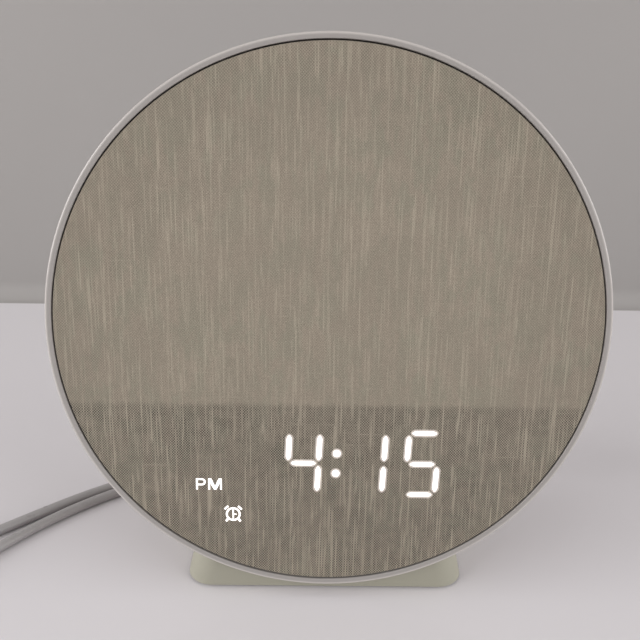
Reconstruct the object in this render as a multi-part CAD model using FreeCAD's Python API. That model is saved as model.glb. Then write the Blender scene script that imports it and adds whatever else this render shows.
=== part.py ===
import FreeCAD, Part
import os
from math import atan2, cos, degrees, hypot, pi, radians, sin, sqrt, tan
from FreeCAD import Placement, Rotation, Vector

# Round sunrise alarm clock with a woven front, leaning back in a saddle foot, and its power lead.
# X runs to the viewer's right, Y away from the viewer and Z up, with the table at Z = 0.
# The origin is under the middle of the clock's depth and width, lead and adapter left out.
# Pieces of the disc are drawn upright and leaned back together: x to the right, y up the disc,
# and depth straight back from the ring's front face. All lengths are in millimetres.

# Stance of the disc
lean_angle = 10.0
overall_depth = 76.0
table_clearance = 6.0

# Ring round the front
ring_radius = 95.0
ring_face_width = 2.15
ring_edge_round = 0.6
ring_lip_round = 0.25
ring_depth = 9.0
flange_reach = 11.0
flange_front = 6.8
flange_thickness = 1.8
spigot_thickness = 1.6
spigot_length = 3.0

# Woven cover and the carrier that it is stretched over
cover_gap = 0.5
cover_setback = 0.2
cover_thickness = 0.6
cover_edge_round = 1.4
cover_hem_depth = 6.2
glue_gap = 0.05
carrier_plate = 3.0
carrier_skirt = 2.4
window_border = 6.2
window_ledge = 2.5
divider_width = 3.0
inlay_thickness = 1.6
inlay_fit = 0.15

# Seven-segment display
segment_gap = 2.2
segment_thickness = 2.5
crossbar_gap = 2.16
segment_tip = 0.7
digit_half_width = 5.33
digit_half_height = 11.6
digit_slant = 0.04
colon_dot_radius = 1.65
colon_half_gap = 3.75
light_pipe_length = 9.2
pipe_fit = 0.1
afternoon_width = 10.4
afternoon_height = 6.2
alarm_width = 7.4
alarm_height = 8.0
alarm_gap = 0.7
sign_gap = 4.5

# Places on the disc, as shares of the ring's radius
divider_share = -0.28421
digit_row_share = -0.50842
last_digit_share = 0.35316
digit_pitch_share = 0.19684
hour_gap_share = 0.24211
colon_share = 0.03632
afternoon_share = -0.43789
alarm_share = -0.34737
display_board_shares = (-0.8, -0.33684)
display_post_shares = ((-0.46316, -0.38947), (0.46316, -0.38947), (-0.21053, -0.74737), (0.21053, -0.74737))
housing_screw_share = 0.49158
main_board_shares = (-0.69474, -0.31579)
ribbon_share = -0.64211
housing_flat_share = 0.52632

# Reflector tray with the light and display boards
tray_wall = 2.0
tray_fit = 0.3
tray_plate_front = 14.0
tray_plate = 2.0
tray_lip = 1.6
tray_lip_gap = 2.15
board_thickness = 1.2
light_board_side_gap = 2.7
light_board_gap = 3.0
led_width = 3.5
led_height = 2.8
led_thickness = 0.8
led_spacing = 17.0
display_board_side_gap = 3.7
post_radius = 2.4
tray_screw_head = 1.7
tray_screw_shank = 0.9

# Rear housing, a bowl with a flat back
housing_depth = 46.0
rim_step = 0.6
parting_gap = 0.3
housing_wall = 2.2
rim_fit = 0.15
boss_radius = 3.2
boss_hole_radius = 1.3
screw_fit = 0.05

# Screws that join the housing to the tray
screw_well_radius = 3.4
screw_well_wall = 1.8
screw_well_gap = 2.0
screw_well_thickness = 2.0
screw_head_radius = 2.7
screw_head_height = 1.8
tray_boss_reach = 4.0
tray_boss_radius = 3.2
board_hole_radius = 4.2

# Loudspeaker and its grille
grille_hole_radius = 1.3
grille_pitch = 4.8
grille_rings = 4
grille_cloth_thickness = 0.3
grille_cloth_lap = 0.6
speaker_radius = 24.0
gasket_width = 2.6
gasket_thickness = 1.4
basket_flange = 0.8
basket_wall = 1.0
basket_throat_radius = 14.5
basket_depth = 11.4
basket_window_width = 12.0
ear_reach = 2.8
ear_radius = 3.4
cone_gap = 0.6
surround_width = 3.2
surround_roll = 0.9
cone_thickness = 0.5
coil_former_radius = 6.5
cone_depth = 6.5
dust_cap_rise = 2.0
magnet_radius = 15.0
magnet_gap = 4.0

# Main board
main_board_width = 72.0
main_board_gap = 8.0
main_boss_inset = 4.0
radio_width = 18.0
radio_gap = 0.5
radio_thickness = 2.8
capacitor_radius = 3.0
capacitor_height = 6.0
chip_width = 9.0
chip_gap = 4.5
chip_thickness = 1.4
connector_width = 12.0
connector_height = 4.5
connector_thickness = 5.0
ribbon_width = 12.0
ribbon_thickness = 0.3
ribbon_slot_margin = 1.0

# Small pan-head screws for the boards
small_head_radius = 2.2
small_head_height = 1.4
small_shank_radius = 1.25
small_shank_length = 5.0

# Buttons along the top and keys on the back
button_travel = 0.6
stop_gap = 0.05
button_depth = 21.0
button_crown = 0.8
button_fit = 0.25
button_flange = 1.2
button_plate = 1.2
flange_gap = 0.15
stem_radius = 1.8
bar_half_length = 18.0
bar_half_width = 5.0
round_button_radius = 5.5
round_button_x = 35.0
switch_board_drop = 17.0
switch_board_half_width = 4.6
switch_boss_x = 24.4
switch_boss_radius = 2.6
switch_size = 6.0
switch_height = 3.2
key_radius = 4.0
key_row = 36.0
key_pitch = 15.0
key_board_half_length = 36.0
key_board_half_width = 5.5
key_board_gap = 5.8
key_boss_x = 32.5

# Saddle foot
foot_width = 103.0
foot_draft = 7.5
foot_height = 32.0
foot_setback = 4.6
foot_corner_round = 9.0
foot_edge_round = 3.0
heel_height = 16.0
heel_run = 24.0
foot_wall = 2.2
saddle_gap = 0.4
foot_front_land = 14.0
base_plate_thickness = 2.0
base_plate_fit = 0.2
pad_thickness = 1.0
pad_inset = 3.5
pad_corner_round = 5.0
ballast_side_gap = 10.4
ballast_front_gap = 15.4
ballast_back_gap = 1.8
ballast_thickness = 3.5
base_screw_side_gap = 9.4
base_screw_front_gap = 6.4
base_screw_back_gap = 8.5
base_boss_radius = 3.0
base_head_radius = 2.4
base_head_height = 1.2
base_shank_length = 8.0
mount_screw_x = 26.0
mount_screw_depth = 28.0
mount_boss_radius = 3.6
mount_boss_drop = 2.4
mount_boss_rise = 9.0
mount_shank_length = 11.0

# Socket for the lead in the foot's back wall
jack_x = 5.0
jack_height = 8.4
jack_width = 9.0
jack_length = 12.0
jack_body_height = 10.5
jack_nose_radius = 4.0
jack_nose_fit = 0.1
socket_depth = 10.5
socket_fit = 0.05
socket_pin_radius = 1.0
socket_pin_setback = 0.6

# Right-angled plug
barrel_radius = 2.75
barrel_length = 9.6
plug_gap = 0.4
plug_body_radius = 5.2
plug_body_length = 10.0
plug_edge_round = 1.2
plug_neck_radius = 4.0
plug_neck_length = 7.0
relief_length = 16.0
relief_start_radius = 3.8
relief_end_radius = 2.7
relief_groove = 0.7
relief_ribs = 5

# Lead, its put-away coil and the tie round it
lead_diameter = 4.0
coil_left = -29.0
coil_front = 53.5
coil_mean_radius = 20.0
coil_turn_pitch = 5.3
coil_layer_pitch = 5.0
coil_layers = 4
half_turns_in_layer = 3
tie_thickness = 0.8
tie_gap = 0.3
tie_width = 6.0
tie_slack = 0.4

# Wall adapter, standing on its long edge
adapter_left = 28.0
adapter_length = 66.0
adapter_thickness = 24.0
adapter_lead_inset = 10.4
adapter_height = 36.0
adapter_edge_round = 3.0
prong_spacing = 12.7
prong_width = 6.3
prong_thickness = 1.5
prong_length = 17.5
prong_place = 20.0

# Route of the lead from the plug to the coil, points chosen by eye: x, y, height
plug_run_end = 11.0
lead_points = (
    (-37.0, 44.6, 5.4),
    (-53.0, 42.6, 2.4),
    (-71.0, 34.2, 2.0),
    (-87.5, 23.0, 2.0),
    (-102.5, 11.9, 2.0),
    (-115.6, -0.6, 2.0),
    (-125.7, -12.4, 2.0),
    (-133.6, -22.9, 2.0),
    (-137.9, -35.6, 2.0),
    (-145.3, -45.2, 2.0),
    (-157.7, -46.2, 2.0),
    (-166.1, -37.8, 2.0),
    (-165.1, -25.4, 2.0),
    (-155.5, -18.0, 2.0),
    (-142.8, -13.7, 2.0),
    (-132.3, -5.8, 2.0),
    (-118.9, 5.8, 2.0),
    (-104.2, 17.8, 2.0),
    (-88.0, 28.6, 2.0),
    (-71.5, 40.6, 2.0),
    (-55.5, 50.0, 2.5),
)

# Shares and cutting helpers
overrun = 5.0
arc_run_share = 0.45
full_turn = 360
quarter_turn = 90


def lean(shape):
    """Lean an upright piece of the disc back and set it over the table."""
    place = Placement(Vector(0, disc_y, disc_z), Rotation(Vector(1, 0, 0), quarter_turn - lean_angle))
    shape.Placement = place.multiply(shape.Placement)
    return shape


def on_arc(centre, radius, angle):
    """A point of a section, at an angle about a centre, as radius and depth."""
    return (centre[0] + radius * cos(radians(angle)), centre[1] + radius * sin(radians(angle)))


def section(items):
    """A face of (radius, depth) points; an item that is (middle, end) is an arc."""
    edges = []
    last = items[0]
    for item in list(items[1:]) + [items[0]]:
        if isinstance(item[0], tuple):
            middle, end = item
            edges.append(Part.Arc(*[Vector(r, 0, -d) for r, d in (last, middle, end)]).toShape())
        else:
            end = item
            edges.append(Part.LineSegment(*[Vector(r, 0, -d) for r, d in (last, end)]).toShape())
        last = end
    return Part.Face(Part.Wire(edges))


def spun(items):
    """A section turned right round the disc's axis."""
    return section(items).revolve(Vector(0, 0, 0), Vector(0, 0, 1), full_turn)


def post(radius, front, back, x=0, y=0):
    """A cylinder along the disc's axis, from one depth to another."""
    return Part.makeCylinder(radius, back - front, Vector(x, y, -back), Vector(0, 0, 1))


def slab(low_x, high_x, low_y, high_y, front, back):
    """A block of the disc, from one depth to another."""
    return Part.makeBox(high_x - low_x, high_y - low_y, back - front, Vector(low_x, low_y, -back))


def disc_segment(radius, low_y, high_y, front, back):
    """The stretch of a round plate between two heights."""
    return post(radius, front, back).common(slab(-radius, radius, low_y, high_y, front, back))


def joined(shapes):
    """Solids that touch, made one."""
    whole = shapes[0].fuse(list(shapes[1:]))
    return whole.removeSplitter()


def drilled(shape, tools):
    """A solid with every tool cut from it."""
    return shape.cut(Part.makeCompound(tools))


def screw(head_radius, head_height, shank_radius, shank_length, place, direction):
    """A pan-head screw; place is under its head and direction points along its shank."""
    head = Part.makeCylinder(head_radius, head_height, place - direction * head_height, direction)
    shank = Part.makeCylinder(shank_radius, shank_length, place, direction)
    return joined([head, shank])


def bar_prism(centre_x, centre_y, length, thickness, upright, front, back):
    """A light bar with drawn-in ends, leaning with the digit's slant."""
    half, side = length / 2, thickness / 2
    along = ((half, 0), (half - segment_tip, side), (segment_tip - half, side))
    along += ((-half, 0), (segment_tip - half, -side), (half - segment_tip, -side))
    points = []
    for a, b in along:
        x, y = (b + digit_slant * a, a) if upright else (a, b)
        points.append(Vector(centre_x + x, centre_y + y, -back))
    outline = Part.makePolygon(points + points[:1])
    return Part.Face(outline).extrude(Vector(0, 0, back - front))


def digit_bars(centre_x, names, grow, front, back):
    """The named bars of one digit: a top, g middle, d bottom, f b upper, e c lower."""
    bars = []
    places = {"a": (0, 1), "g": (0, 0), "d": (0, -1), "f": (-1, 1), "b": (1, 1), "e": (-1, -1), "c": (1, -1)}
    for name in names:
        side, level = places[name]
        rise = level * digit_half_height / (2 if side else 1)
        x = centre_x + side * digit_half_width + digit_slant * rise
        length = segment_length if side else crossbar_length
        size = (length + 2 * grow, segment_thickness + 2 * grow)
        bars.append(bar_prism(x, digit_row + rise, *size, bool(side), front, back))
    return bars


def colon_dots(grow, front, back):
    """The two round dots between hours and minutes."""
    dots = []
    for side in (-1, 1):
        x = colon_x + side * digit_slant * colon_half_gap
        dots.append(post(colon_dot_radius + grow, front, back, x, digit_row + side * colon_half_gap))
    return dots


def window_blocks(grow, front, back):
    """The blocks behind the small indicator signs."""
    blocks = []
    for x, y, width, height in sign_windows:
        half, rise = width / 2 + grow, height / 2 + grow
        blocks.append(slab(x - half, x + half, y - rise, y + rise, front, back))
    return blocks


# Sizes that follow from those above
upright = cos(radians(lean_angle))
leaning = sin(radians(lean_angle))
ring_lip = ring_radius - ring_face_width
flange_inner_radius = ring_radius - flange_reach
flange_back = flange_front + flange_thickness
housing_rim_radius = ring_radius - rim_step
housing_flat_radius = ring_radius * housing_flat_share
spigot_radius = housing_rim_radius - ring_face_width
cover_radius = ring_lip - cover_gap
carrier_radius = cover_radius - cover_thickness - glue_gap
carrier_front = cover_setback + cover_thickness
carrier_back = carrier_front + carrier_plate
window_radius = carrier_radius - window_border
pocket_radius = window_radius + window_ledge
divider_height = ring_radius * divider_share
inlay_back = carrier_front + inlay_thickness
pipe_back = carrier_front + light_pipe_length
tray_back = tray_plate_front + tray_plate
tray_radius = flange_inner_radius - tray_fit
tray_inner_radius = tray_radius - tray_wall
tray_lip_radius = spigot_radius - spigot_thickness - tray_lip_gap
tray_screw_circle = (flange_inner_radius + tray_lip_radius) / 2
tray_boss_front = tray_plate_front - tray_boss_reach
light_board_radius = tray_inner_radius - light_board_side_gap
display_board_radius = tray_inner_radius - display_board_side_gap
display_board_bottom, display_board_top = [ring_radius * share for share in display_board_shares]
display_posts = [(ring_radius * x, ring_radius * y) for x, y in display_post_shares]
segment_length = digit_half_height - segment_gap
crossbar_length = 2 * digit_half_width - crossbar_gap
digit_row = ring_radius * digit_row_share
digit_pitch = ring_radius * digit_pitch_share
colon_x = ring_radius * colon_share
last_digit_x = ring_radius * last_digit_share
tens_x = last_digit_x - digit_pitch
hour_x = tens_x - ring_radius * hour_gap_share
digit_places = [last_digit_x, tens_x, hour_x, hour_x - digit_pitch]
afternoon_x = ring_radius * afternoon_share
alarm_x = ring_radius * alarm_share
alarm_low = alarm_gap - sqrt(tray_inner_radius**2 - (alarm_width / 2 - alarm_x) ** 2)
alarm_y = alarm_low + alarm_height / 2
afternoon_y = alarm_low + alarm_height + sign_gap + afternoon_height / 2
sign_windows = (
    (afternoon_x, afternoon_y, afternoon_width, afternoon_height),
    (alarm_x, alarm_y, alarm_width, alarm_height),
)
rim_depth = ring_depth + parting_gap
bowl_rise = housing_depth - rim_depth
bowl_radius = ((housing_rim_radius - housing_flat_radius) ** 2 + bowl_rise**2) / (2 * bowl_rise)
bowl_centre = (housing_flat_radius, housing_depth - bowl_radius)
inner_back = housing_depth - housing_wall
screw_well_floor = tray_back + screw_well_gap
housing_screw_offset = ring_radius * housing_screw_share
gasket_inner_radius = speaker_radius - gasket_width
grille_cloth_radius = gasket_inner_radius + grille_cloth_lap
ear_circle = speaker_radius + ear_reach
cone_outer_radius = gasket_inner_radius - cone_gap
surround_radius = cone_outer_radius - surround_width
magnet_back = inner_back - gasket_thickness - basket_depth - basket_wall
magnet_front = tray_back + magnet_gap
front_reach = (ring_radius - ring_edge_round) * leaning + ring_edge_round * (1 - upright)
disc_y = front_reach - overall_depth / 2
disc_z = table_clearance + ring_radius * upright
foot_front = foot_setback - overall_depth / 2
foot_back = overall_depth / 2
foot_top_width = foot_width - 2 * foot_draft
hollow_front = foot_front + foot_front_land
base_screw_x = foot_width / 2 - base_screw_side_gap
base_screw_front = hollow_front + base_screw_front_gap
base_screw_back = foot_back - base_screw_back_gap
ballast_half_width = foot_width / 2 - ballast_side_gap
ballast_front = hollow_front + ballast_front_gap
ballast_depth = foot_back - foot_wall - jack_length - ballast_back_gap - ballast_front
lead_radius = lead_diameter / 2
key_board_back = inner_back - key_board_gap
main_board_front = tray_back + main_board_gap
main_board_back = main_board_front + board_thickness
main_board_bottom, main_board_top = [ring_radius * share for share in main_board_shares]
main_boss_x = main_board_width / 2 - main_boss_inset
connector_low = main_board_top - connector_height - main_boss_inset / 2
radio_height = connector_low - radio_gap - main_board_bottom - main_boss_inset
switch_board_half_length = round_button_x + switch_size / 2
ribbon_y = ring_radius * ribbon_share
main_boss_places = [
    (side * main_boss_x, y)
    for side in (-1, 1)
    for y in (main_board_top - main_boss_inset, main_board_bottom + main_boss_inset)
]
housing_screw_places = [
    (x * housing_screw_offset, y * housing_screw_offset) for x in (-1, 1) for y in (-1, 1)
]


def bowl_radius_at(depth, offset=0):
    """How far the bowl's surface is from the disc's axis at a depth."""
    return bowl_centre[0] + sqrt((bowl_radius + offset) ** 2 - (depth - bowl_centre[1]) ** 2)


switch_board_y = bowl_radius_at(button_depth, -housing_wall) - switch_board_drop


def bowl_items(offset, front):
    """The bowl's section from its rim to the axis, moved out by an offset."""
    size = bowl_radius + offset
    start = (bowl_radius_at(front, offset), front)
    angle = degrees(atan2(start[1] - bowl_centre[1], start[0] - bowl_centre[0]))
    middle = on_arc(bowl_centre, size, (angle + quarter_turn) / 2)
    return [start, (middle, (bowl_centre[0], bowl_centre[1] + size)), (0, bowl_centre[1] + size)]


def bowl_solid(offset, front=rim_depth):
    """The whole bowl as one solid, moved out by an offset."""
    return spun([(0, front)] + bowl_items(offset, front))


def disc_envelope(offset):
    """The ring and the bowl together, moved out by an offset, for cutting the saddle."""
    size = bowl_radius + offset
    outer = (ring_radius + offset, rim_depth)
    start = (bowl_radius_at(rim_depth, offset), rim_depth)
    angle = degrees(atan2(start[1] - bowl_centre[1], start[0] - bowl_centre[0]))
    middle = on_arc(bowl_centre, size, (angle + quarter_turn) / 2)
    end = (bowl_centre[0], bowl_centre[1] + size)
    return lean(spun([(0, -overrun), (outer[0], -overrun), outer, start, (middle, end), (0, end[1])]))


def bezel_ring():
    """The white ring: rounded face, inward flange for the cover, spigot for the housing."""
    edge_centre = (ring_radius - ring_edge_round, ring_edge_round)
    lip_centre = (ring_lip + ring_lip_round, ring_lip_round)
    ring = spun(
        [
            (ring_lip, ring_lip_round),
            (on_arc(lip_centre, ring_lip_round, -135), (lip_centre[0], 0)),
            (edge_centre[0], 0),
            (on_arc(edge_centre, ring_edge_round, -45), (ring_radius, ring_edge_round)),
            (ring_radius, ring_depth),
            (spigot_radius, ring_depth),
            (spigot_radius, ring_depth + spigot_length),
            (spigot_radius - spigot_thickness, ring_depth + spigot_length),
            (spigot_radius - spigot_thickness, flange_back),
            (flange_inner_radius, flange_back),
            (flange_inner_radius, flange_front),
            (ring_lip, flange_front),
        ]
    )
    hole = tray_screw_shank + screw_fit
    return lean(drilled(ring, [post(hole, 0, flange_back + overrun, x, y) for x, y in tray_screw_places()]))


def tray_screw_places():
    """Six places round the tray's lip, clear of the divider."""
    angles = [30 + 60 * step for step in range(6)]
    return [on_arc((0, 0), tray_screw_circle, angle) for angle in angles]


def fabric_cover():
    """The woven skin over the front and round the carrier's edge."""
    inner = cover_edge_round - cover_thickness
    centre = (cover_radius - cover_edge_round, cover_setback + cover_edge_round)
    return lean(
        spun(
            [
                (0, cover_setback),
                (centre[0], cover_setback),
                (on_arc(centre, cover_edge_round, -45), (cover_radius, centre[1])),
                (cover_radius, cover_hem_depth),
                (cover_radius - cover_thickness, cover_hem_depth),
                (cover_radius - cover_thickness, centre[1]),
                (on_arc(centre, inner, -45), (centre[0], carrier_front)),
                (0, carrier_front),
            ]
        )
    )


def front_carrier():
    """The frame under the cover, with a bright window above a dark one."""
    edge = cover_edge_round - cover_thickness
    centre = (carrier_radius - edge, carrier_front + edge)
    disc = spun(
        [
            (0, carrier_front),
            (centre[0], carrier_front),
            (on_arc(centre, edge, -45), (carrier_radius, centre[1])),
            (carrier_radius, flange_front),
            (carrier_radius - carrier_skirt, flange_front),
            (carrier_radius - carrier_skirt, carrier_back),
            (0, carrier_back),
        ]
    )
    upper = divider_height + divider_width / 2
    lower = divider_height - divider_width / 2
    reach = pocket_radius
    cuts = [
        disc_segment(pocket_radius, upper, reach, carrier_front - overrun, inlay_back),
        disc_segment(window_radius, upper + window_ledge, reach, carrier_front, carrier_back + overrun),
        disc_segment(pocket_radius, -reach, lower, carrier_front - overrun, inlay_back),
        disc_segment(window_radius, -reach, lower - window_ledge, carrier_front, carrier_back + overrun),
    ]
    return lean(drilled(disc, cuts))


def light_diffuser():
    """The milky plate that the sunrise light shines through."""
    low = divider_height + divider_width / 2 + inlay_fit
    radius = pocket_radius - inlay_fit
    return lean(disc_segment(radius, low, radius, carrier_front, inlay_back))


def display_mask():
    """The dark plate with a slot for every bar of the display."""
    high = divider_height - divider_width / 2 - inlay_fit
    radius = pocket_radius - inlay_fit
    plate = disc_segment(radius, -radius, high, carrier_front, inlay_back)
    ends = (carrier_front - overrun, inlay_back + overrun)
    holes = colon_dots(pipe_fit, *ends) + window_blocks(pipe_fit, *ends)
    for x in digit_places:
        holes += digit_bars(x, "abcdefg", pipe_fit, *ends)
    return lean(drilled(plate, holes))


def lit_segments():
    """The light pipes that are on, showing a quarter past four."""
    ends = (carrier_front, pipe_back)
    bars = colon_dots(0, *ends)
    for x, names in zip(digit_places, ("afgcd", "bc", "fgbc")):
        bars += digit_bars(x, names, 0, *ends)
    return lean(Part.makeCompound(bars))


def dark_segments():
    """The light pipes that are off."""
    ends = (carrier_front, pipe_back)
    bars = []
    for x, names in zip(digit_places, ("be", "adefg", "ade", "abcdefg")):
        bars += digit_bars(x, names, 0, *ends)
    return lean(Part.makeCompound(bars))


def indicator_windows():
    """The two light blocks for the small signs at the left."""
    return lean(Part.makeCompound(window_blocks(0, carrier_front, pipe_back)))


def display_board():
    """The board behind the light pipes, notched for the lower housing screws."""
    ends = (pipe_back, pipe_back + board_thickness)
    board = disc_segment(display_board_radius, display_board_bottom, display_board_top, *ends)
    places = housing_screw_places
    return lean(drilled(board, [post(board_hole_radius, *ends, x, y) for x, y in places if y < 0]))


def light_board():
    """The board that carries the sunrise lamps."""
    back = tray_plate_front
    low = divider_height + light_board_gap
    board = disc_segment(light_board_radius, low, light_board_radius, back - board_thickness, back)
    ends = (back - board_thickness - overrun, back + overrun)
    places = housing_screw_places
    return lean(drilled(board, [post(board_hole_radius, *ends, x, y) for x, y in places if y > 0]))


def light_leds():
    """The lamps, in staggered rows within the light board."""
    back = tray_plate_front - board_thickness
    lamps = []
    for row in range(-1, 5):
        for column in range(-4, 5):
            x = (column + (row % 2) / 2) * led_spacing
            y = row * led_spacing
            near_screw = min(hypot(x - a, y - b) for a, b in housing_screw_places) < board_hole_radius * 2
            if hypot(x, y) > light_board_radius - led_width * 2 or near_screw:
                continue
            half, rise = led_width / 2, led_height / 2
            lamps.append(slab(x - half, x + half, y - rise, y + rise, back - led_thickness, back))
    return lean(Part.makeCompound(lamps))


def reflector_tray():
    """The white tray: rim, divider between light and display, lip, posts and screw bosses."""
    tray = spun(
        [
            (0, tray_plate_front),
            (tray_inner_radius, tray_plate_front),
            (tray_inner_radius, carrier_back),
            (tray_radius, carrier_back),
            (tray_radius, flange_back),
            (tray_lip_radius, flange_back),
            (tray_lip_radius, flange_back + tray_lip),
            (tray_radius, flange_back + tray_lip),
            (tray_radius, tray_back),
            (0, tray_back),
        ]
    )
    half = tray_wall / 2
    low, high = divider_height - half, divider_height + half
    added = [disc_segment(tray_inner_radius + half, low, high, carrier_back, tray_back)]
    for x, y in display_posts:
        added.append(post(post_radius, pipe_back + board_thickness, tray_back, x, y))
    bores = []
    for x, y in housing_screw_places:
        added.append(post(tray_boss_radius, tray_boss_front, screw_well_floor, x, y))
        bores.append(post(boss_hole_radius, tray_boss_front - overrun, screw_well_floor + overrun, x, y))
    for x, y in tray_screw_places():
        bores.append(post(tray_screw_shank + screw_fit, flange_back - overrun, tray_back, x, y))
    slot_x = ribbon_width / 2 + ribbon_slot_margin
    slot = (ribbon_y - ribbon_slot_margin, ribbon_y + ribbon_slot_margin)
    bores.append(slab(-slot_x, slot_x, *slot, tray_plate_front - overrun, tray_back + overrun))
    return lean(drilled(joined([tray] + added), bores))


def tray_screws():
    """Small screws through the tray's lip into the ring's flange."""
    seat = flange_back + tray_lip
    length = seat - flange_front
    forward = Vector(0, 0, 1)
    made = [
        screw(tray_screw_head, screw_head_height, tray_screw_shank, length, Vector(x, y, -seat), forward)
        for x, y in tray_screw_places()
    ]
    return lean(Part.makeCompound(made))


def stadium(half_length, half_width, low, high):
    """An upright prism with round ends, for the bar button and its opening."""
    straight = half_length - half_width
    base = -(button_depth + half_width)
    blocks = [Part.makeBox(2 * straight, high - low, 2 * half_width, Vector(-straight, low, base))]
    for x in (-straight, straight):
        centre = Vector(x, low, -button_depth)
        blocks.append(Part.makeCylinder(half_width, high - low, centre, Vector(0, 1, 0)))
    return joined(blocks)


def round_prism(x, radius, low, high):
    """An upright cylinder through the top of the bowl."""
    return Part.makeCylinder(radius, high - low, Vector(x, low, -button_depth), Vector(0, 1, 0))


def bar_prism_at(grow, low, high):
    """The outline of the wide button, grown all round."""
    return stadium(bar_half_length + grow, bar_half_width + grow, low, high)


def top_stem(x, top):
    """The stem that reaches down to the switch."""
    low = switch_board_y + board_thickness + switch_height + button_travel + stop_gap
    return Part.makeCylinder(stem_radius, top - low, Vector(x, low, -button_depth), Vector(0, 1, 0))


def top_button(outline, x):
    """A button whose crown follows the bowl, with a flange that keeps it in."""
    low, high = switch_board_y - switch_size, ring_radius + overrun
    under = bowl_solid(-housing_wall - flange_gap - button_plate, ring_depth)
    cap = outline(0, low, high).common(bowl_solid(button_crown, ring_depth)).cut(under)
    flange = outline(button_flange, low, high).common(bowl_solid(-housing_wall - flange_gap, ring_depth))
    whole = joined([cap, flange.cut(under)])
    reach = bowl_radius_at(button_depth, -housing_wall) - button_plate
    top = sqrt(reach**2 - x**2)
    return lean(joined([whole, top_stem(x, top)]))


def rear_keys():
    """Places of the four keys on the back."""
    return [(step - 3 / 2) * key_pitch for step in range(4)]


def rear_key(x):
    """A round key on the back, with its flange and stem."""
    seat = inner_back - flange_gap
    cap = post(key_radius, seat - button_plate, housing_depth + button_crown, x, key_row)
    rim = cap.Edges
    cap = cap.makeFillet(button_crown / 2, [e for e in rim if e.BoundBox.ZMax < -housing_depth])
    flange = post(key_radius + button_flange, seat - button_plate, seat, x, key_row)
    flange = flange.common(bowl_solid(-housing_wall - flange_gap))
    stem_end = key_board_back + switch_height + button_travel + stop_gap
    stem = post(stem_radius, stem_end, seat - button_plate, x, key_row)
    return lean(joined([cap, flange, stem]))


def grille_places():
    """Holes of the grille, in rings of a honeycomb about the middle of the back."""
    places = [(0, 0)]
    for ring in range(1, grille_rings + 1):
        for side in range(6):
            start = on_arc((0, 0), ring * grille_pitch, 60 * side)
            end = on_arc((0, 0), ring * grille_pitch, 60 * (side + 1))
            for step in range(ring):
                share = step / ring
                places.append(tuple(a + (b - a) * share for a, b in zip(start, end)))
    return places


def ear_places():
    """Fixing ears of the loudspeaker."""
    return [on_arc((0, 0), ear_circle, 45 + 90 * step) for step in range(4)]


def rear_housing():
    """The bowl: grille, openings for buttons and keys, screw wells and bosses."""
    relief = ring_depth + spigot_length + rim_fit
    inner = bowl_items(-housing_wall, relief)
    rim_inner = spigot_radius + rim_fit
    outer = bowl_items(0, rim_depth)
    centre, inner_arc, inner_start = inner[2], inner[1], inner[0]
    shell = spun(
        outer
        + [centre, inner_arc[1], (inner_arc[0], inner_start), (rim_inner, relief), (rim_inner, rim_depth)]
    )
    bowl = bowl_solid(0)
    far = housing_depth + overrun
    well = screw_well_radius + screw_well_wall
    added = [post(well, screw_well_floor, far, x, y) for x, y in housing_screw_places]
    added += [post(boss_radius, main_board_back, far, x, y) for x, y in main_boss_places]
    basket_face = inner_back - gasket_thickness
    added += [post(boss_radius, basket_face, inner_back, x, y) for x, y in ear_places()]
    added += [post(boss_radius, key_board_back, inner_back, side * key_boss_x, key_row) for side in (-1, 1)]
    for side in (-1, 1):
        low = switch_board_y + board_thickness
        foot = Vector(side * switch_boss_x, low, -button_depth)
        added.append(Part.makeCylinder(switch_boss_radius, ring_radius - low, foot, Vector(0, 1, 0)))
        top = Vector(side * mount_screw_x, -mount_bottom() + mount_boss_rise, -mount_screw_depth)
        rise = ring_radius
        added.append(Part.makeCylinder(mount_boss_radius, rise, top, Vector(0, -1, 0)))
    bowl_full = joined([shell, Part.makeCompound(added).common(bowl)])
    holes = [post(grille_hole_radius, inner_back - overrun, far, x, y) for x, y in grille_places()]
    holes += [post(key_radius + button_fit, inner_back - overrun, far, x, key_row) for x in rear_keys()]
    for x, y in housing_screw_places:
        holes.append(post(screw_well_radius, screw_well_floor + screw_well_thickness, far, x, y))
        holes.append(post(boss_hole_radius, 0, far, x, y))
    low, high = switch_board_y - switch_size, ring_radius + overrun
    holes.append(bar_prism_at(button_fit, low, high))
    for side in (-1, 1):
        holes.append(round_prism(side * round_button_x, round_button_radius + button_fit, low, high))
        bottom = Vector(side * mount_screw_x, -ring_radius, -mount_screw_depth)
        length = ring_radius - mount_bottom() + mount_shank_length
        holes.append(Part.makeCylinder(boss_hole_radius, length, bottom, Vector(0, 1, 0)))
    board_hole_end = main_board_back + small_shank_length
    holes += [post(boss_hole_radius, 0, board_hole_end, x, y) for x, y in main_boss_places]
    holes += [post(boss_hole_radius, 0, inner_back, x, y) for x, y in ear_places()]
    holes += [post(boss_hole_radius, 0, inner_back, side * key_boss_x, key_row) for side in (-1, 1)]
    for side in (-1, 1):
        foot = Vector(side * switch_boss_x, 0, -button_depth)
        reach = switch_board_y + board_thickness + small_shank_length
        holes.append(Part.makeCylinder(boss_hole_radius, reach, foot, Vector(0, 1, 0)))
    return lean(drilled(bowl_full, holes))


def mount_bottom():
    """How far under the axis the bowl's skin is, above the screws into the foot."""
    return sqrt(bowl_radius_at(mount_screw_depth) ** 2 - mount_screw_x**2)


def housing_screws():
    """Four long screws from the back, through the wells into the tray."""
    seat = screw_well_floor + screw_well_thickness
    length = seat - tray_boss_front
    forward = Vector(0, 0, 1)
    made = [
        screw(screw_head_radius, screw_head_height, small_shank_radius, length, Vector(x, y, -seat), forward)
        for x, y in housing_screw_places
    ]
    return lean(Part.makeCompound(made))


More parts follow.
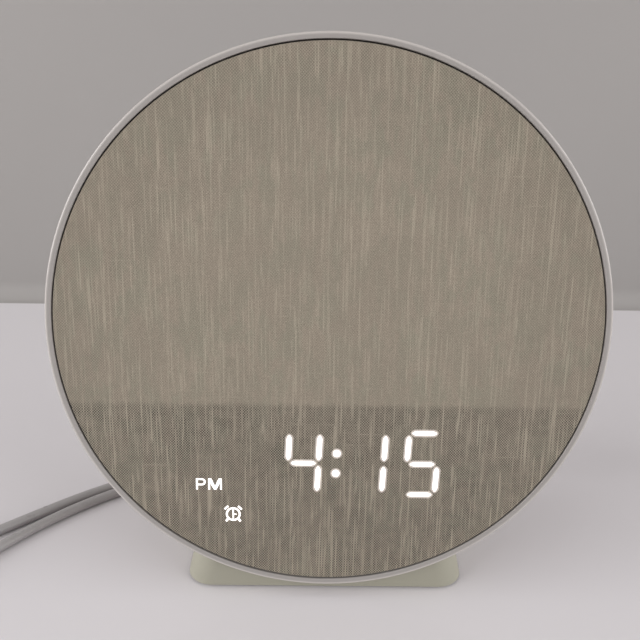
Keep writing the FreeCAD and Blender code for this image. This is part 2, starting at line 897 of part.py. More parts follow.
def speaker_basket():
    """The pressed frame: flange, four ears, windowed wall and back plate."""
    face = inner_back - gasket_thickness
    front = face - basket_flange
    end = face - basket_depth
    basket = spun(
        [
            (coil_former_radius + basket_wall, end - basket_wall),
            (basket_throat_radius, end - basket_wall),
            (gasket_inner_radius, front),
            (speaker_radius, front),
            (speaker_radius, face),
            (gasket_inner_radius - basket_wall, face),
            (basket_throat_radius - basket_wall, end),
            (coil_former_radius + basket_wall, end),
        ]
    )
    ears = [post(ear_radius, front, face, x, y) for x, y in ear_places()]
    half = basket_window_width / 2
    low, high = end + basket_wall, front - basket_wall
    windows = []
    for step in range(4):
        window = slab(0, speaker_radius, -half, half, low, high)
        window.rotate(Vector(0, 0, 0), Vector(0, 0, 1), quarter_turn * step)
        windows.append(window)
    windows += [post(boss_hole_radius, front - overrun, face + overrun, x, y) for x, y in ear_places()]
    return lean(drilled(joined([basket] + ears), windows))


def dome(radius, base, rise):
    """A shallow dome of a section, from its edge to the axis, as middle and end."""
    size = (radius**2 + rise**2) / (2 * rise)
    centre = (0, base + rise - size)
    edge = degrees(atan2(base - centre[1], radius))
    return (on_arc(centre, size, (edge + quarter_turn) / 2), (0, base + rise))


def speaker_cone():
    """Paper cone with its rolled surround and dust cap."""
    face = inner_back - gasket_thickness
    thick = cone_thickness
    neck = face - cone_depth
    roll_middle = ((cone_outer_radius + surround_radius) / 2 - thick, face + surround_roll)
    roll_inner = (roll_middle[0], roll_middle[1] - thick)
    cap_edge = (coil_former_radius - thick, neck)
    cap_under = dome(cap_edge[0], cap_edge[1], dust_cap_rise)
    return lean(
        spun(
            [
                (cone_outer_radius, face),
                (cone_outer_radius, face + thick),
                (cone_outer_radius - thick * 2, face + thick),
                (roll_middle, (surround_radius - thick, face + thick)),
                (coil_former_radius, neck + thick),
                dome(coil_former_radius, neck + thick, dust_cap_rise),
                cap_under[1],
                (cap_under[0], cap_edge),
                (cap_edge[0], neck - thick),
                (coil_former_radius + thick, neck - thick),
                (surround_radius, face),
                (roll_inner, (cone_outer_radius - thick * 3, face)),
            ]
        )
    )


def speaker_magnet():
    """The magnet pot behind the basket."""
    pot = post(magnet_radius, magnet_front, magnet_back)
    rims = [e for e in pot.Edges if e.Length > magnet_radius]
    return lean(pot.makeChamfer(basket_wall, rims))


def speaker_gasket():
    """Foam ring between the basket and the back wall."""
    front = inner_back - gasket_thickness
    start, end = front - overrun, inner_back + overrun
    ring = post(speaker_radius, front, inner_back).cut(post(gasket_inner_radius, start, end))
    seat = post(grille_cloth_radius + pipe_fit, inner_back - grille_cloth_thickness, end)
    ears = [post(boss_radius + pipe_fit, start, end, x, y) for x, y in ear_places()]
    return lean(drilled(ring, [seat] + ears))


def grille_cloth():
    """Thin cloth inside the grille holes."""
    return lean(post(grille_cloth_radius, inner_back - grille_cloth_thickness, inner_back))


def speaker_screws():
    """Screws through the ears into the back wall's bosses."""
    seat = inner_back - gasket_thickness - basket_flange
    length = inner_back - seat
    rearward = Vector(0, 0, -1)
    made = [
        screw(small_head_radius, small_head_height, small_shank_radius, length, Vector(x, y, -seat), rearward)
        for x, y in ear_places()
    ]
    return lean(Part.makeCompound(made))


def main_board():
    """The control board, under the loudspeaker."""
    half = main_board_width / 2
    board = slab(-half, half, main_board_bottom, main_board_top, main_board_front, main_board_back)
    ends = (main_board_front - overrun, main_board_back + overrun)
    hole = boss_hole_radius
    return lean(drilled(board, [post(hole, *ends, x, y) for x, y in main_boss_places]))


def radio_module():
    """The shielded radio on the control board."""
    low = main_board_bottom + main_boss_inset
    left = main_boss_x - radio_width - main_boss_inset * 2
    front = main_board_front - radio_thickness
    can = slab(left, left + radio_width, low, low + radio_height, front, main_board_front)
    upright_edges = [e for e in can.Edges if e.BoundBox.ZLength > radio_thickness / 2]
    return lean(can.makeFillet(pipe_fit * 5, upright_edges))


def board_parts():
    """Capacitors, chips and the loudspeaker's connector on the control board."""
    front = main_board_front
    made = []
    for step in range(3):
        x = -main_boss_x + capacitor_radius * (2 + step * 3)
        y = main_board_top - capacitor_radius * 3
        made.append(post(capacitor_radius, front - capacitor_height, front, x, y))
    low = main_board_bottom + chip_width
    for step in range(2):
        left = main_boss_inset - main_boss_x + step * (chip_width + chip_gap)
        made.append(slab(left, left + chip_width, low, low + chip_width, front - chip_thickness, front))
    ends = (front - connector_thickness, front)
    left = main_boss_x - connector_width - main_boss_inset * 2
    made.append(slab(left, left + connector_width, connector_low, connector_low + connector_height, *ends))
    return lean(Part.makeCompound(made))


def display_ribbon():
    """The flat cable from the display board, through the tray, to the control board."""
    half = ribbon_width / 2
    ends = (pipe_back + board_thickness, main_board_front)
    return lean(slab(-half, half, ribbon_y, ribbon_y + ribbon_thickness, *ends))


def board_screws():
    """Screws that hold the control board."""
    made = [
        screw(
            small_head_radius,
            small_head_height,
            small_shank_radius,
            small_shank_length,
            Vector(x, y, -main_board_front),
            Vector(0, 0, -1),
        )
        for x, y in main_boss_places
    ]
    return lean(Part.makeCompound(made))


def top_switch_board():
    """The narrow board under the top buttons."""
    half, side = switch_board_half_length, switch_board_half_width
    board = Part.makeBox(
        2 * half, board_thickness, 2 * side, Vector(-half, switch_board_y, -button_depth - side)
    )
    holes = []
    for edge in (-1, 1):
        base = Vector(edge * switch_boss_x, switch_board_y - overrun, -button_depth)
        holes.append(Part.makeCylinder(boss_hole_radius, 2 * overrun, base, Vector(0, 1, 0)))
    return lean(drilled(board, holes))


def top_switches():
    """Three push switches, one under each top button."""
    half = switch_size / 2
    base = switch_board_y + board_thickness
    made = []
    for x in (-round_button_x, 0, round_button_x):
        body = Part.makeBox(
            switch_size, switch_height / 2, switch_size, Vector(x - half, base, -button_depth - half)
        )
        plunger = Part.makeCylinder(
            stem_radius, switch_height, Vector(x, base, -button_depth), Vector(0, 1, 0)
        )
        made.append(joined([body, plunger]))
    return lean(Part.makeCompound(made))


def rear_switch_board():
    """The board behind the keys on the back."""
    half, side = key_board_half_length, key_board_half_width
    ends = (key_board_back - board_thickness, key_board_back)
    board = slab(-half, half, key_row - side, key_row + side, *ends)
    holes = [post(boss_hole_radius, 0, housing_depth, edge * key_boss_x, key_row) for edge in (-1, 1)]
    return lean(drilled(board, holes))


def rear_switches():
    """Four push switches, one for each key."""
    half = switch_size / 2
    made = []
    for x in rear_keys():
        back = key_board_back + switch_height / 2
        body = slab(x - half, x + half, key_row - half, key_row + half, key_board_back, back)
        plunger = post(stem_radius, key_board_back, key_board_back + switch_height, x, key_row)
        made.append(joined([body, plunger]))
    return lean(Part.makeCompound(made))


def switch_board_screws():
    """Screws that hold the two switch boards."""
    made = []
    sizes = (small_head_radius, small_head_height, small_shank_radius, small_shank_length)
    for side in (-1, 1):
        seat = Vector(side * switch_boss_x, switch_board_y, -button_depth)
        made.append(screw(*sizes, seat, Vector(0, 1, 0)))
        seat = Vector(side * key_boss_x, key_row, -(key_board_back - board_thickness))
        made.append(screw(*sizes, seat, Vector(0, 0, -1)))
    return lean(Part.makeCompound(made))


def foot_block(inset, bottom, front_inset, rounding):
    """The foot's outer form, or its hollow when inset: side outline crossed with front outline."""
    slope = (foot_width - foot_top_width) / 2 / foot_height
    top = foot_height - inset
    low_half = foot_width / 2 - inset - slope * (bottom - pad_thickness)
    top_half = foot_width / 2 - inset - slope * (top - pad_thickness)
    front = foot_front + front_inset
    back = foot_back - inset
    heel = heel_height - inset
    shoulder = back - heel_run
    side = [(front, bottom), (back, bottom), (back, heel), (shoulder, top), (front, top)]
    points = [Vector(-foot_width, y, z) for y, z in side + side[:1]]
    body = Part.Face(Part.makePolygon(points)).extrude(Vector(2 * foot_width, 0, 0))
    face = [(-low_half, bottom), (low_half, bottom), (top_half, top), (-top_half, top)]
    points = [Vector(x, front - overrun, z) for x, z in face + face[:1]]
    body = body.common(Part.Face(Part.makePolygon(points)).extrude(Vector(0, overall_depth + overrun, 0)))
    corners = [e for e in body.Edges if e.BoundBox.ZMin < bottom + inset + heel / 2 < e.BoundBox.ZMax]
    body = body.makeFillet(rounding, corners)
    return body


def rounded_foot():
    """The foot's outer form with its heel and top edges softened."""
    body = foot_block(0, pad_thickness, 0, foot_corner_round)
    edges = []
    for edge in body.Edges:
        box = edge.BoundBox
        if box.ZMin > heel_height - foot_edge_round and box.YMin > 0:
            edges.append(edge)
    return body.makeFillet(foot_edge_round, edges)


def foot_hollow(grow):
    """The space inside the foot, under its saddle."""
    hollow = foot_block(foot_wall, pad_thickness, hollow_front - foot_front, foot_corner_round - foot_wall)
    return hollow.cut(disc_envelope(saddle_gap + foot_wall - grow))


def base_screw_places():
    """Four corners of the base plate."""
    return [(x * base_screw_x, y) for x in (-1, 1) for y in (base_screw_front, base_screw_back)]


def mount_screw_line(side):
    """The seat under the foot's boss and the direction of a screw up into the housing."""
    drop = -mount_bottom() - saddle_gap - foot_wall - mount_boss_drop
    seat = Part.Vertex(Vector(side * mount_screw_x, drop, -mount_screw_depth))
    tip = Part.Vertex(Vector(side * mount_screw_x, drop + mount_shank_length, -mount_screw_depth))
    seat, tip = lean(seat).Point, lean(tip).Point
    return seat, (tip - seat).normalize()


def foot_shell():
    """The saddle foot: a skirt whose top cradles the disc, with bosses inside."""
    block = rounded_foot().cut(disc_envelope(saddle_gap))
    shell = block.cut(foot_hollow(0))
    plate_top = pad_thickness + base_plate_thickness
    bosses = []
    holes = []
    for x, y in base_screw_places():
        bosses.append(Part.makeCylinder(base_boss_radius, foot_height, Vector(x, y, plate_top)))
        holes.append(Part.makeCylinder(boss_hole_radius, base_shank_length + overrun / 2, Vector(x, y, 0)))
    for side in (-1, 1):
        seat, direction = mount_screw_line(side)
        bosses.append(Part.makeCylinder(mount_boss_radius, foot_height, seat, direction))
        holes.append(Part.makeCylinder(boss_hole_radius, foot_height, seat, direction))
    kept = Part.makeCompound(bosses).common(block)
    nose = Vector(jack_x, foot_back - overrun, jack_height)
    holes.append(Part.makeCylinder(jack_nose_radius + jack_nose_fit, 2 * overrun, nose, Vector(0, 1, 0)))
    return drilled(joined([shell, kept]), holes)


def foot_base_plate():
    """The plate that closes the foot, with sunk holes for its screws."""
    inset = foot_wall + base_plate_fit
    plate = foot_block(inset, pad_thickness, foot_front_land + base_plate_fit, foot_corner_round - inset)
    top = pad_thickness + base_plate_thickness
    limit = Part.makeBox(2 * foot_width, 2 * overall_depth, top, Vector(-foot_width, -overall_depth, 0))
    holes = []
    for x, y in base_screw_places():
        holes.append(Part.makeCylinder(boss_hole_radius, foot_height, Vector(x, y, 0)))
        depth = pad_thickness + base_head_height
        holes.append(Part.makeCylinder(base_head_radius + base_plate_fit, depth, Vector(x, y, 0)))
    return drilled(plate.common(limit), holes)


def base_plate_screws():
    """Screws up through the base plate into the foot's bosses."""
    made = []
    for x, y in base_screw_places():
        seat = Vector(x, y, pad_thickness + base_head_height)
        sizes = (base_head_radius, base_head_height, small_shank_radius, base_shank_length)
        made.append(screw(*sizes, seat, Vector(0, 0, 1)))
    return Part.makeCompound(made)


def foot_mount_screws():
    """Screws from inside the foot up into the housing."""
    made = []
    for side in (-1, 1):
        seat, direction = mount_screw_line(side)
        sizes = (base_head_radius, base_head_height, small_shank_radius, mount_shank_length)
        made.append(screw(*sizes, seat, direction))
    return Part.makeCompound(made)


def foot_pad():
    """The thin rubber sole, inset from the foot's edge."""
    half = foot_width / 2 - pad_inset
    front, back = foot_front + pad_inset, foot_back - pad_inset
    pad = Part.makeBox(2 * half, back - front, pad_thickness, Vector(-half, front, 0))
    corners = [e for e in pad.Edges if e.BoundBox.ZLength > pad_thickness / 2]
    return pad.makeFillet(pad_corner_round, corners)


def ballast_plate():
    """The steel weight on the base plate."""
    width = 2 * ballast_half_width
    low = pad_thickness + base_plate_thickness
    corner = Vector(-ballast_half_width, ballast_front, low)
    plate = Part.makeBox(width, ballast_depth, ballast_thickness, corner)
    corners = [e for e in plate.Edges if e.BoundBox.ZLength > ballast_thickness / 2]
    return plate.makeFillet(base_boss_radius, corners)


def dc_jack():
    """The socket behind the foot's back wall: body, nose, bore and pin."""
    inner = foot_back - foot_wall
    low = pad_thickness + base_plate_thickness
    half = jack_width / 2
    corner = Vector(jack_x - half, inner - jack_length, low)
    body = Part.makeBox(jack_width, jack_length, jack_body_height, corner)
    start = Vector(jack_x, inner - overrun, jack_height)
    back = Vector(0, 1, 0)
    nose = Part.makeCylinder(jack_nose_radius, foot_wall + overrun, start, back)
    mouth = Vector(jack_x, foot_back - socket_depth, jack_height)
    bore = Part.makeCylinder(barrel_radius + socket_fit, socket_depth + overrun, mouth, back)
    pin = Part.makeCylinder(socket_pin_radius, socket_depth - socket_pin_setback, mouth, back)
    return joined([joined([body, nose]).cut(bore), pin])


def dc_plug():
    """The right-angled plug: barrel, round body and neck towards the lead."""
    back = Vector(0, 1, 0)
    face = foot_back + plug_gap
    barrel_start = Vector(jack_x, face - barrel_length, jack_height)
    barrel = Part.makeCylinder(barrel_radius, barrel_length + plug_edge_round, barrel_start, back)
    body = Part.makeCylinder(plug_body_radius, plug_body_length, Vector(jack_x, face, jack_height), back)
    rims = [e for e in body.Edges if e.Length > plug_body_length and e.BoundBox.YLength < plug_gap]
    body = body.makeFillet(plug_edge_round, rims)
    middle = Vector(jack_x, face + plug_body_length / 2, jack_height)
    neck = Part.makeCylinder(plug_neck_radius, plug_neck_length, middle, Vector(-1, 0, 0))
    bore = Part.makeCylinder(socket_pin_radius + socket_fit, barrel_length, barrel_start, back)
    return joined([body, neck, barrel]).cut(bore)


def strain_relief(start, direction):
    """A tapered sleeve with grooves, along a direction in the table's plane."""
    step = relief_length / relief_ribs
    width = step / 3
    taper = (relief_start_radius - relief_end_radius) / relief_length
    outline = [(0, 0), (relief_start_radius, 0)]
    for rib in range(1, relief_ribs):
        near, far = rib * step - width / 2, rib * step + width / 2
        outline.append((relief_start_radius - taper * near, near))
        outline.append((relief_start_radius - taper * near - relief_groove, near))
        outline.append((relief_start_radius - taper * far - relief_groove, far))
        outline.append((relief_start_radius - taper * far, far))
    outline += [(relief_end_radius, relief_length), (0, relief_length)]
    points = [Vector(0, r, a) for r, a in outline + outline[:1]]
    sleeve = Part.Face(Part.makePolygon(points)).revolve(Vector(0, 0, 0), Vector(0, 0, 1), full_turn)
    sleeve.Placement = Placement(start, Rotation(Vector(0, 0, 1), direction))
    return sleeve


def plug_relief_start():
    """Where the plug's neck ends and its sleeve begins."""
    y = foot_back + plug_gap + plug_body_length / 2
    return Vector(jack_x - plug_neck_length, y, jack_height)


def route_wire(points):
    """Straight runs joined by arcs that touch them; prints each arc's radius."""
    points = [Vector(*p) for p in points]
    edges = []
    radii = []
    last = points[0]
    for before, corner, after in zip(points, points[1:], points[2:]):
        back, on = before - corner, after - corner
        turn = pi - back.getAngle(on)
        reach = arc_run_share * min(back.Length, on.Length)
        radius = reach / tan(turn / 2)
        start = corner + back.normalize() * reach
        end = corner + on.normalize() * reach
        inward = (back + on).normalize()
        middle = corner + inward * (radius / cos(turn / 2) - radius)
        edges.append(Part.LineSegment(last, start).toShape())
        edges.append(Part.Arc(start, middle, end).toShape())
        radii.append(round(radius, 1))
        last = end
    edges.append(Part.LineSegment(last, points[-1]).toShape())
    print("bend radii", radii, "tightest", min(radii or [0]))
    return Part.Wire(edges)


def tube(wire, name):
    """A round tube along a path, with its volume checked against section times length."""
    first = wire.Edges[0]
    start, direction = first.valueAt(first.FirstParameter), first.tangentAt(first.FirstParameter)
    ring = Part.Wire([Part.makeCircle(lead_radius, start, direction)])
    solid = wire.makePipeShell([ring], True, False)
    expected = pi * lead_radius**2 * wire.Length
    print(name, "length", round(wire.Length, 1), "volume ratio", round(solid.Volume / expected, 4))
    return solid


def power_lead():
    """The free stretch of the lead, from the plug, out to the left and back to the coil."""
    start = plug_relief_start() - Vector(relief_length, 0, 0)
    ahead = start - Vector(plug_run_end, 0, 0)
    end = Vector(coil_left - lead_diameter, coil_front, coil_low())
    before = end - Vector(plug_run_end, 0, 0)
    points = [tuple(start), tuple(ahead)] + list(lead_points) + [tuple(before), tuple(end)]
    return tube(route_wire(points), "power_lead")


def coil_low():
    """Height of the coil's lowest layer, on its tie."""
    return lead_radius + tie_thickness + tie_gap


def coil_outer():
    """Radius of the coil's widest turn."""
    return coil_mean_radius + coil_turn_pitch * half_turns_in_layer / 4


def arc_on(start, tangent, end):
    """The arc that leaves a point along a tangent and ends at another point."""
    chord = end - start
    across = chord * (1 / chord.Length)
    along = tangent.dot(across)
    bulge = (tangent - across * along).normalize()
    angle = atan2(sqrt(1 - min(along, 1) ** 2), along)
    middle = (start + end) * (1 / 2) + bulge * (chord.Length / 2 * tan(angle / 2))
    return Part.Arc(start, middle, end).toShape()


def coil_path():
    """Half turns between the coil's near and far side, spiralling in and out as it climbs."""
    centre_y = coil_front + coil_outer()
    shifts = []
    for layer in range(coil_layers):
        inward = -1 if layer % 2 == 0 else 1
        shifts += [(inward, 0)] * half_turns_in_layer
        shifts.append((0, 1))
    shifts[-1] = (1, 0)
    reach, height, side, direction = coil_outer(), coil_low(), -1, 1
    here = Vector(coil_left, centre_y + side * reach, height)
    edges = [Part.LineSegment(here - Vector(lead_diameter, 0, 0), here).toShape()]
    for shift, climb in shifts:
        reach += shift * coil_turn_pitch / 2
        height += climb * coil_layer_pitch
        there = Vector(coil_left, centre_y - side * reach, height)
        tangent = Vector(direction, 0, 0)
        bulge = hypot(reach, climb * coil_layer_pitch / 2) if climb else (here - there).Length / 2
        middle_y = (here.y + there.y) / 2
        middle = Vector(coil_left + direction * bulge, middle_y, (here.z + there.z) / 2)
        edges.append(arc_on(here, tangent, middle))
        edges.append(arc_on(there, tangent, middle))
        here, side, direction = there, -side, -direction
    edges.append(Part.LineSegment(here, here + Vector(direction * lead_diameter, 0, 0)).toShape())
    return Part.Wire(Part.sortEdges(edges)[0])


def least_gap(wire):
    """The least clear gap between turns of the coil, measured on points along its path."""
    points = wire.discretize(Distance=lead_diameter / 4)
    apart = 12
    near = min(
        (a - b).Length for i, a in enumerate(points) for b in points[i + apart :]
    )
    return near - lead_diameter


def lead_coil():
    """The put-away length: one unbroken tube in neat turns."""
    wire = coil_path()
    print("coil least gap to itself", round(least_gap(wire), 2))
    return tube(wire, "lead_coil")


def coil_end():
    """Where the coil's last straight ends, on its top layer."""
    top = coil_low() + (coil_layers - 1) * coil_layer_pitch
    return Vector(coil_left + lead_diameter, coil_front - coil_turn_pitch / 2, top)


def adapter_relief_end():
    """The tip of the adapter's sleeve."""
    return Vector(adapter_left - relief_length, coil_end().y, coil_end().z)


def adapter_lead():
    """The short stretch from the coil to the adapter."""
    path = Part.Wire([Part.LineSegment(coil_end(), adapter_relief_end()).toShape()])
    return tube(path, "adapter_lead")


def coil_tie():
    """The strap round the bundle, on the side towards the adapter."""
    radius = coil_outer() - coil_turn_pitch / 4
    inner = radius - coil_turn_pitch * (half_turns_in_layer - 1) / 2 - lead_radius - tie_slack - tie_gap
    outer = radius + lead_radius + tie_gap
    top = coil_end().z + lead_radius + tie_gap
    low = tie_thickness
    centre_y = coil_front + coil_outer()
    y = centre_y - tie_width / 2
    wall = tie_thickness
    block = Part.makeBox(
        outer - inner + 2 * wall, tie_width, top + wall, Vector(coil_left + inner - wall, y, 0)
    )
    hole_corner = Vector(coil_left + inner, y - overrun, low)
    hole = Part.makeBox(outer - inner, tie_width + 2 * overrun, top - low, hole_corner)
    corners = [e for e in block.Edges if e.BoundBox.YLength > tie_width / 2]
    return block.makeFillet(wall, corners).cut(hole)


def power_adapter():
    """The wall adapter, standing on its long edge behind the clock."""
    low_y = coil_end().y - adapter_lead_inset
    box = Part.makeBox(adapter_length, adapter_thickness, adapter_height, Vector(adapter_left, low_y, 0))
    return box.makeFillet(adapter_edge_round, box.Edges)


def adapter_prongs():
    """The two flat pins on the adapter's face."""
    face = coil_end().y - adapter_lead_inset + adapter_thickness
    made = []
    for side in (-1, 1):
        low = adapter_height / 2 + side * prong_spacing / 2 - prong_thickness / 2
        left = adapter_left + adapter_length - prong_place - prong_width / 2
        pin = Part.makeBox(prong_width, prong_length, prong_thickness, Vector(left, face, low))
        tips = [e for e in pin.Edges if e.BoundBox.YMin > face + prong_length / 2 and e.BoundBox.XLength > 0]
        made.append(pin.makeChamfer(prong_thickness / 3, tips))
    return Part.makeCompound(made)


def pieces():
    """Every piece of the clock by name."""
    made = {
        "bezel_ring": bezel_ring(),
        "fabric_cover": fabric_cover(),
        "front_carrier": front_carrier(),
        "light_diffuser": light_diffuser(),
        "display_mask": display_mask(),
        "lit_segments": lit_segments(),
        "dark_segments": dark_segments(),
        "indicator_windows": indicator_windows(),
        "display_board": display_board(),
        "light_board": light_board(),
        "light_leds": light_leds(),
        "reflector_tray": reflector_tray(),
        "tray_screws": tray_screws(),
        "rear_housing": rear_housing(),
        "housing_screws": housing_screws(),
        "speaker_basket": speaker_basket(),
        "speaker_cone": speaker_cone(),
        "speaker_magnet": speaker_magnet(),
        "speaker_gasket": speaker_gasket(),
        "speaker_screws": speaker_screws(),
        "grille_cloth": grille_cloth(),
        "main_board": main_board(),
        "radio_module": radio_module(),
        "board_parts": board_parts(),
        "board_screws": board_screws(),
        "display_ribbon": display_ribbon(),
        "top_switch_board": top_switch_board(),
        "top_switches": top_switches(),
        "rear_switch_board": rear_switch_board(),
        "rear_switches": rear_switches(),
        "switch_board_screws": switch_board_screws(),
        "snooze_bar": top_button(bar_prism_at, 0),
        "foot_shell": foot_shell(),
        "foot_base_plate": foot_base_plate(),
        "base_plate_screws": base_plate_screws(),
        "foot_mount_screws": foot_mount_screws(),
        "foot_pad": foot_pad(),
        "ballast_plate": ballast_plate(),
        "dc_jack": dc_jack(),
        "dc_plug": dc_plug(),
        "plug_relief": strain_relief(plug_relief_start(), Vector(-1, 0, 0)),
        "power_lead": power_lead(),
        "lead_coil": lead_coil(),
        "coil_tie": coil_tie(),
        "adapter_lead": adapter_lead(),
        "adapter_relief": strain_relief(adapter_relief_end() + Vector(relief_length, 0, 0), Vector(-1, 0, 0)),
        "power_adapter": power_adapter(),
        "adapter_prongs": adapter_prongs(),
    }
    for name, x in (("light_button", -round_button_x), ("sound_button", round_button_x)):
        outline = lambda grow, low, high, x=x: round_prism(x, round_button_radius + grow, low, high)
        made[name] = top_button(outline, x)
    for name, x in zip(("volume_down_key", "volume_up_key", "alarm_key", "clock_key"), rear_keys()):
        made[name] = rear_key(x)
    return made


os.makedirs("parts", exist_ok=True)
for name, shape in pieces().items():
    shape.exportStep(f"parts/{name}.step")
    solids = len(shape.Solids)
    print(f"{name:22s} solids {solids:3d} valid {shape.isValid()} volume {shape.Volume:10.1f}")
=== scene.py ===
from math import atan2, cos, hypot, pi, radians, sin

import bmesh
import bpy
from bpy.props import (
    FloatProperty,
    FloatVectorProperty,
    IntProperty,
    PointerProperty,
)
from mathutils import Euler, Matrix, Vector
from mathutils.geometry import delaunay_2d_cdt


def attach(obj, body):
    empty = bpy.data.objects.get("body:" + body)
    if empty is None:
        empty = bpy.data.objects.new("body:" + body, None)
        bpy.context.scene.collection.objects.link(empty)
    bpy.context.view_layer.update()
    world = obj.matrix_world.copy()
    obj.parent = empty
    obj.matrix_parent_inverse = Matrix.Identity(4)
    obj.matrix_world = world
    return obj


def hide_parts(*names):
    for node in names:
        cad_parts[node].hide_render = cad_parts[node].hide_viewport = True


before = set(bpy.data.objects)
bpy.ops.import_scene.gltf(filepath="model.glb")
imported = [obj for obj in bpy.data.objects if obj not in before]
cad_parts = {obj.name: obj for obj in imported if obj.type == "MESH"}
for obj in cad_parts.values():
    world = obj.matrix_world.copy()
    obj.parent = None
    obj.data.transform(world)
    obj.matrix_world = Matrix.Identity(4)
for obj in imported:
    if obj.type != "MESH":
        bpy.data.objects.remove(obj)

bl_info = {
    "name": "Cloth-fronted alarm clock",
    "version": (1, 0, 0),
    "blender": (4, 5, 0),
    "location": "3D View > Sidebar > Clock",
    "description": "Dresses a round cloth-fronted alarm clock, its foot and its power lead",
    "category": "Object",
}

# The disc's own frame: x to the right, up the disc and out of its front, in metres
MM = 0.001
LEAN = radians(10)
ACROSS = Vector((1, 0, 0))
UP_DISC = Vector((0, sin(LEAN), cos(LEAN)))
OUT_OF_DISC = Vector((0, -cos(LEAN), sin(LEAN)))
RING_RADIUS = 95 * MM
TABLE_CLEARANCE = 6 * MM
OVERALL_DEPTH = 76 * MM
EDGE_ROUND = 0.6 * MM
FRONT_REACH = (RING_RADIUS - EDGE_ROUND) * sin(LEAN) + EDGE_ROUND * (1 - cos(LEAN))
DISC_CENTRE = Vector((0, FRONT_REACH - OVERALL_DEPTH / 2, TABLE_CLEARANCE + RING_RADIUS * cos(LEAN)))

# The woven cover, with the solid's outline and a tighter round at its edge
COVER_RADIUS = 92.35 * MM
COVER_ROUND = 0.45 * MM
COVER_SETBACK = 0.2 * MM
COVER_HEM = 6.0 * MM
RIM_POINTS = 180
RIM_TOLERANCE = 0.01 * MM
ROUND_STEPS = 6

# The front's triangles: only those inside its rim, points that count as one in millimetres, and finishes
ONLY_INSIDE = 1
SAME_POINT = 1e-5
CLOTH, LIT_CLOTH, GLOWING_CLOTH = range(3)

# The top of the black mask behind the cloth, and the soft edge that it shows above and below
MASK_TOP = -26.4 * MM
MASK_FADE_ABOVE = 1.6 * MM
MASK_FADE_BELOW = 1.4 * MM

# The cloth's gaps, patches and threads, and the steps in the noise from one thread to the next
GAPS_DEEPEN_FROM = 45 * MM
PATCH_STRETCH = (1.0, 1.0, 0.45)
THREAD_SWAY = 4.0
WEFT_PITCH_SHARE = 1.06
STREAKS_PER_THREAD = 0.45
SLUB_STEP = 7.31
STREAK_STEP = 5.17
CROSS_STEP = 5.73
WEIGHT_STEP = 3.17

# The digits and the colon, in millimetres from the middle of the disc
DIGIT_ROW = -47.6
DIGIT_SLANT = 0.04
DIGIT_HALF_WIDTH = 5.3
DIGIT_HALF_HEIGHT = 11.54
SHOWN_DIGITS = ((-8.32, "fgbc"), (14.54, "bc"), (33.2, "afgcd"))
COLON_X = 3.22
COLON_HALF_GAP = 3.73
DOT_RADIUS = 1.35
GLOW_SPREAD = 0.55

# A digit's bars: the side and level of each, and the length and thickness of both kinds
UPRIGHT_PLACES = {"f": (-1, 1), "b": (1, 1), "e": (-1, -1), "c": (1, -1)}
LEVEL_PLACES = {"a": (0, 1), "g": (0, 0), "d": (0, -1)}
BAR_PLACES = UPRIGHT_PLACES | LEVEL_PLACES
UPRIGHT_BAR = (9.3, 1.85)
LEVEL_BAR = (8.7, 1.7)

# A bar's end: distances from its tip, and the shares of its half thickness that it has there
BAR_END_SHARES = ((1.45, 1.0), (0.62, 0.66), (0.08, 0.2))

# The afternoon sign's two letters, in millimetres: a bowl on a stem, then two stems and two slanted strokes
PEN = 0.66
LETTERS_LOW = -58.05
LETTERS_HIGH = -53.75
STEM_X = -46.0
BOWL_REACH = 2.1
BOWL_RADIUS = 1.35
BOWL_STEPS = 10
SECOND_LETTER_X = -39.3
SECOND_LETTER_HALF_WIDTH = 2.4
SLANT_TOP = 1.15
SLANT_DROP = 1.7
NOTCH_HEIGHT = 1.35
POINT_HALF_WIDTH = 0.4

# The alarm sign, in millimetres from the middle of its dial
SIGN_PLACE = (-33.05, -67.4)
DIAL_RADIUS = 2.65
DIAL_HOLE_RADIUS = 1.95
BELL_REACH = 3.85
BELL_THICKNESS = 0.75
BELL_LOW = radians(31)
BELL_HIGH = radians(61)
BELL_STEPS = 6
SIGN_FOOT = ((1.6, -2.2), (2.2, -1.6), (2.9, -2.5), (2.3, -3.1))
HAND_HALF_WIDTH = 0.26
LONG_HAND = 1.9
SHORT_HAND = 1.2
SHORT_HAND_TOP = 0.2

# The ring's painted highlight along its outer corner: where it starts and where it is full, measured in
# from the outside
HIGHLIGHT_START = 1.1 * MM
HIGHLIGHT_FULL = 0.45 * MM
# The ring's face: the shell's colour dimmed, a painted shade of the face turned away from the overhead
# light
RING_PAINTED_SHADE = 0.71
# The painted highlight: how much lighter than the shell the outer corner is painted
PAINTED_HIGHLIGHT_LIFT = 1.55

# The finishes: grain, depth of their relief and the waves of brushed scratches in a metre
MOULD_GRAIN = 0.35 * MM
ADAPTER_GRAIN = 0.5 * MM
FINE_RELIEF = 0.01 * MM
MOULD_RELIEF = 0.02 * MM
SOFT_RELIEF = 0.05 * MM
WEAVE_RELIEF = 0.1 * MM
SCRATCH_WAVES = (900, 900, 60)

# The lead's route from the plug to the coil, as the solid has it, in millimetres
LEAD_POINTS = (
    (-18.0, 43.4, 8.4),
    (-29.0, 43.4, 8.4),
    (-37.0, 44.6, 5.4),
    (-53.0, 42.6, 2.4),
    (-71.0, 34.2, 2.0),
    (-87.5, 23.0, 2.0),
    (-102.5, 11.9, 2.0),
    (-115.6, -0.6, 2.0),
    (-125.7, -12.4, 2.0),
    (-133.6, -22.9, 2.0),
    (-137.9, -35.6, 2.0),
    (-145.3, -45.2, 2.0),
    (-157.7, -46.2, 2.0),
    (-166.1, -37.8, 2.0),
    (-165.1, -25.4, 2.0),
    (-155.5, -18.0, 2.0),
    (-142.8, -13.7, 2.0),
    (-132.3, -5.8, 2.0),
    (-118.9, 5.8, 2.0),
    (-104.2, 17.8, 2.0),
    (-88.0, 28.6, 2.0),
    (-71.5, 40.6, 2.0),
    (-55.5, 50.0, 2.5),
    (-44.0, 53.5, 3.1),
    (-33.0, 53.5, 3.1),
)

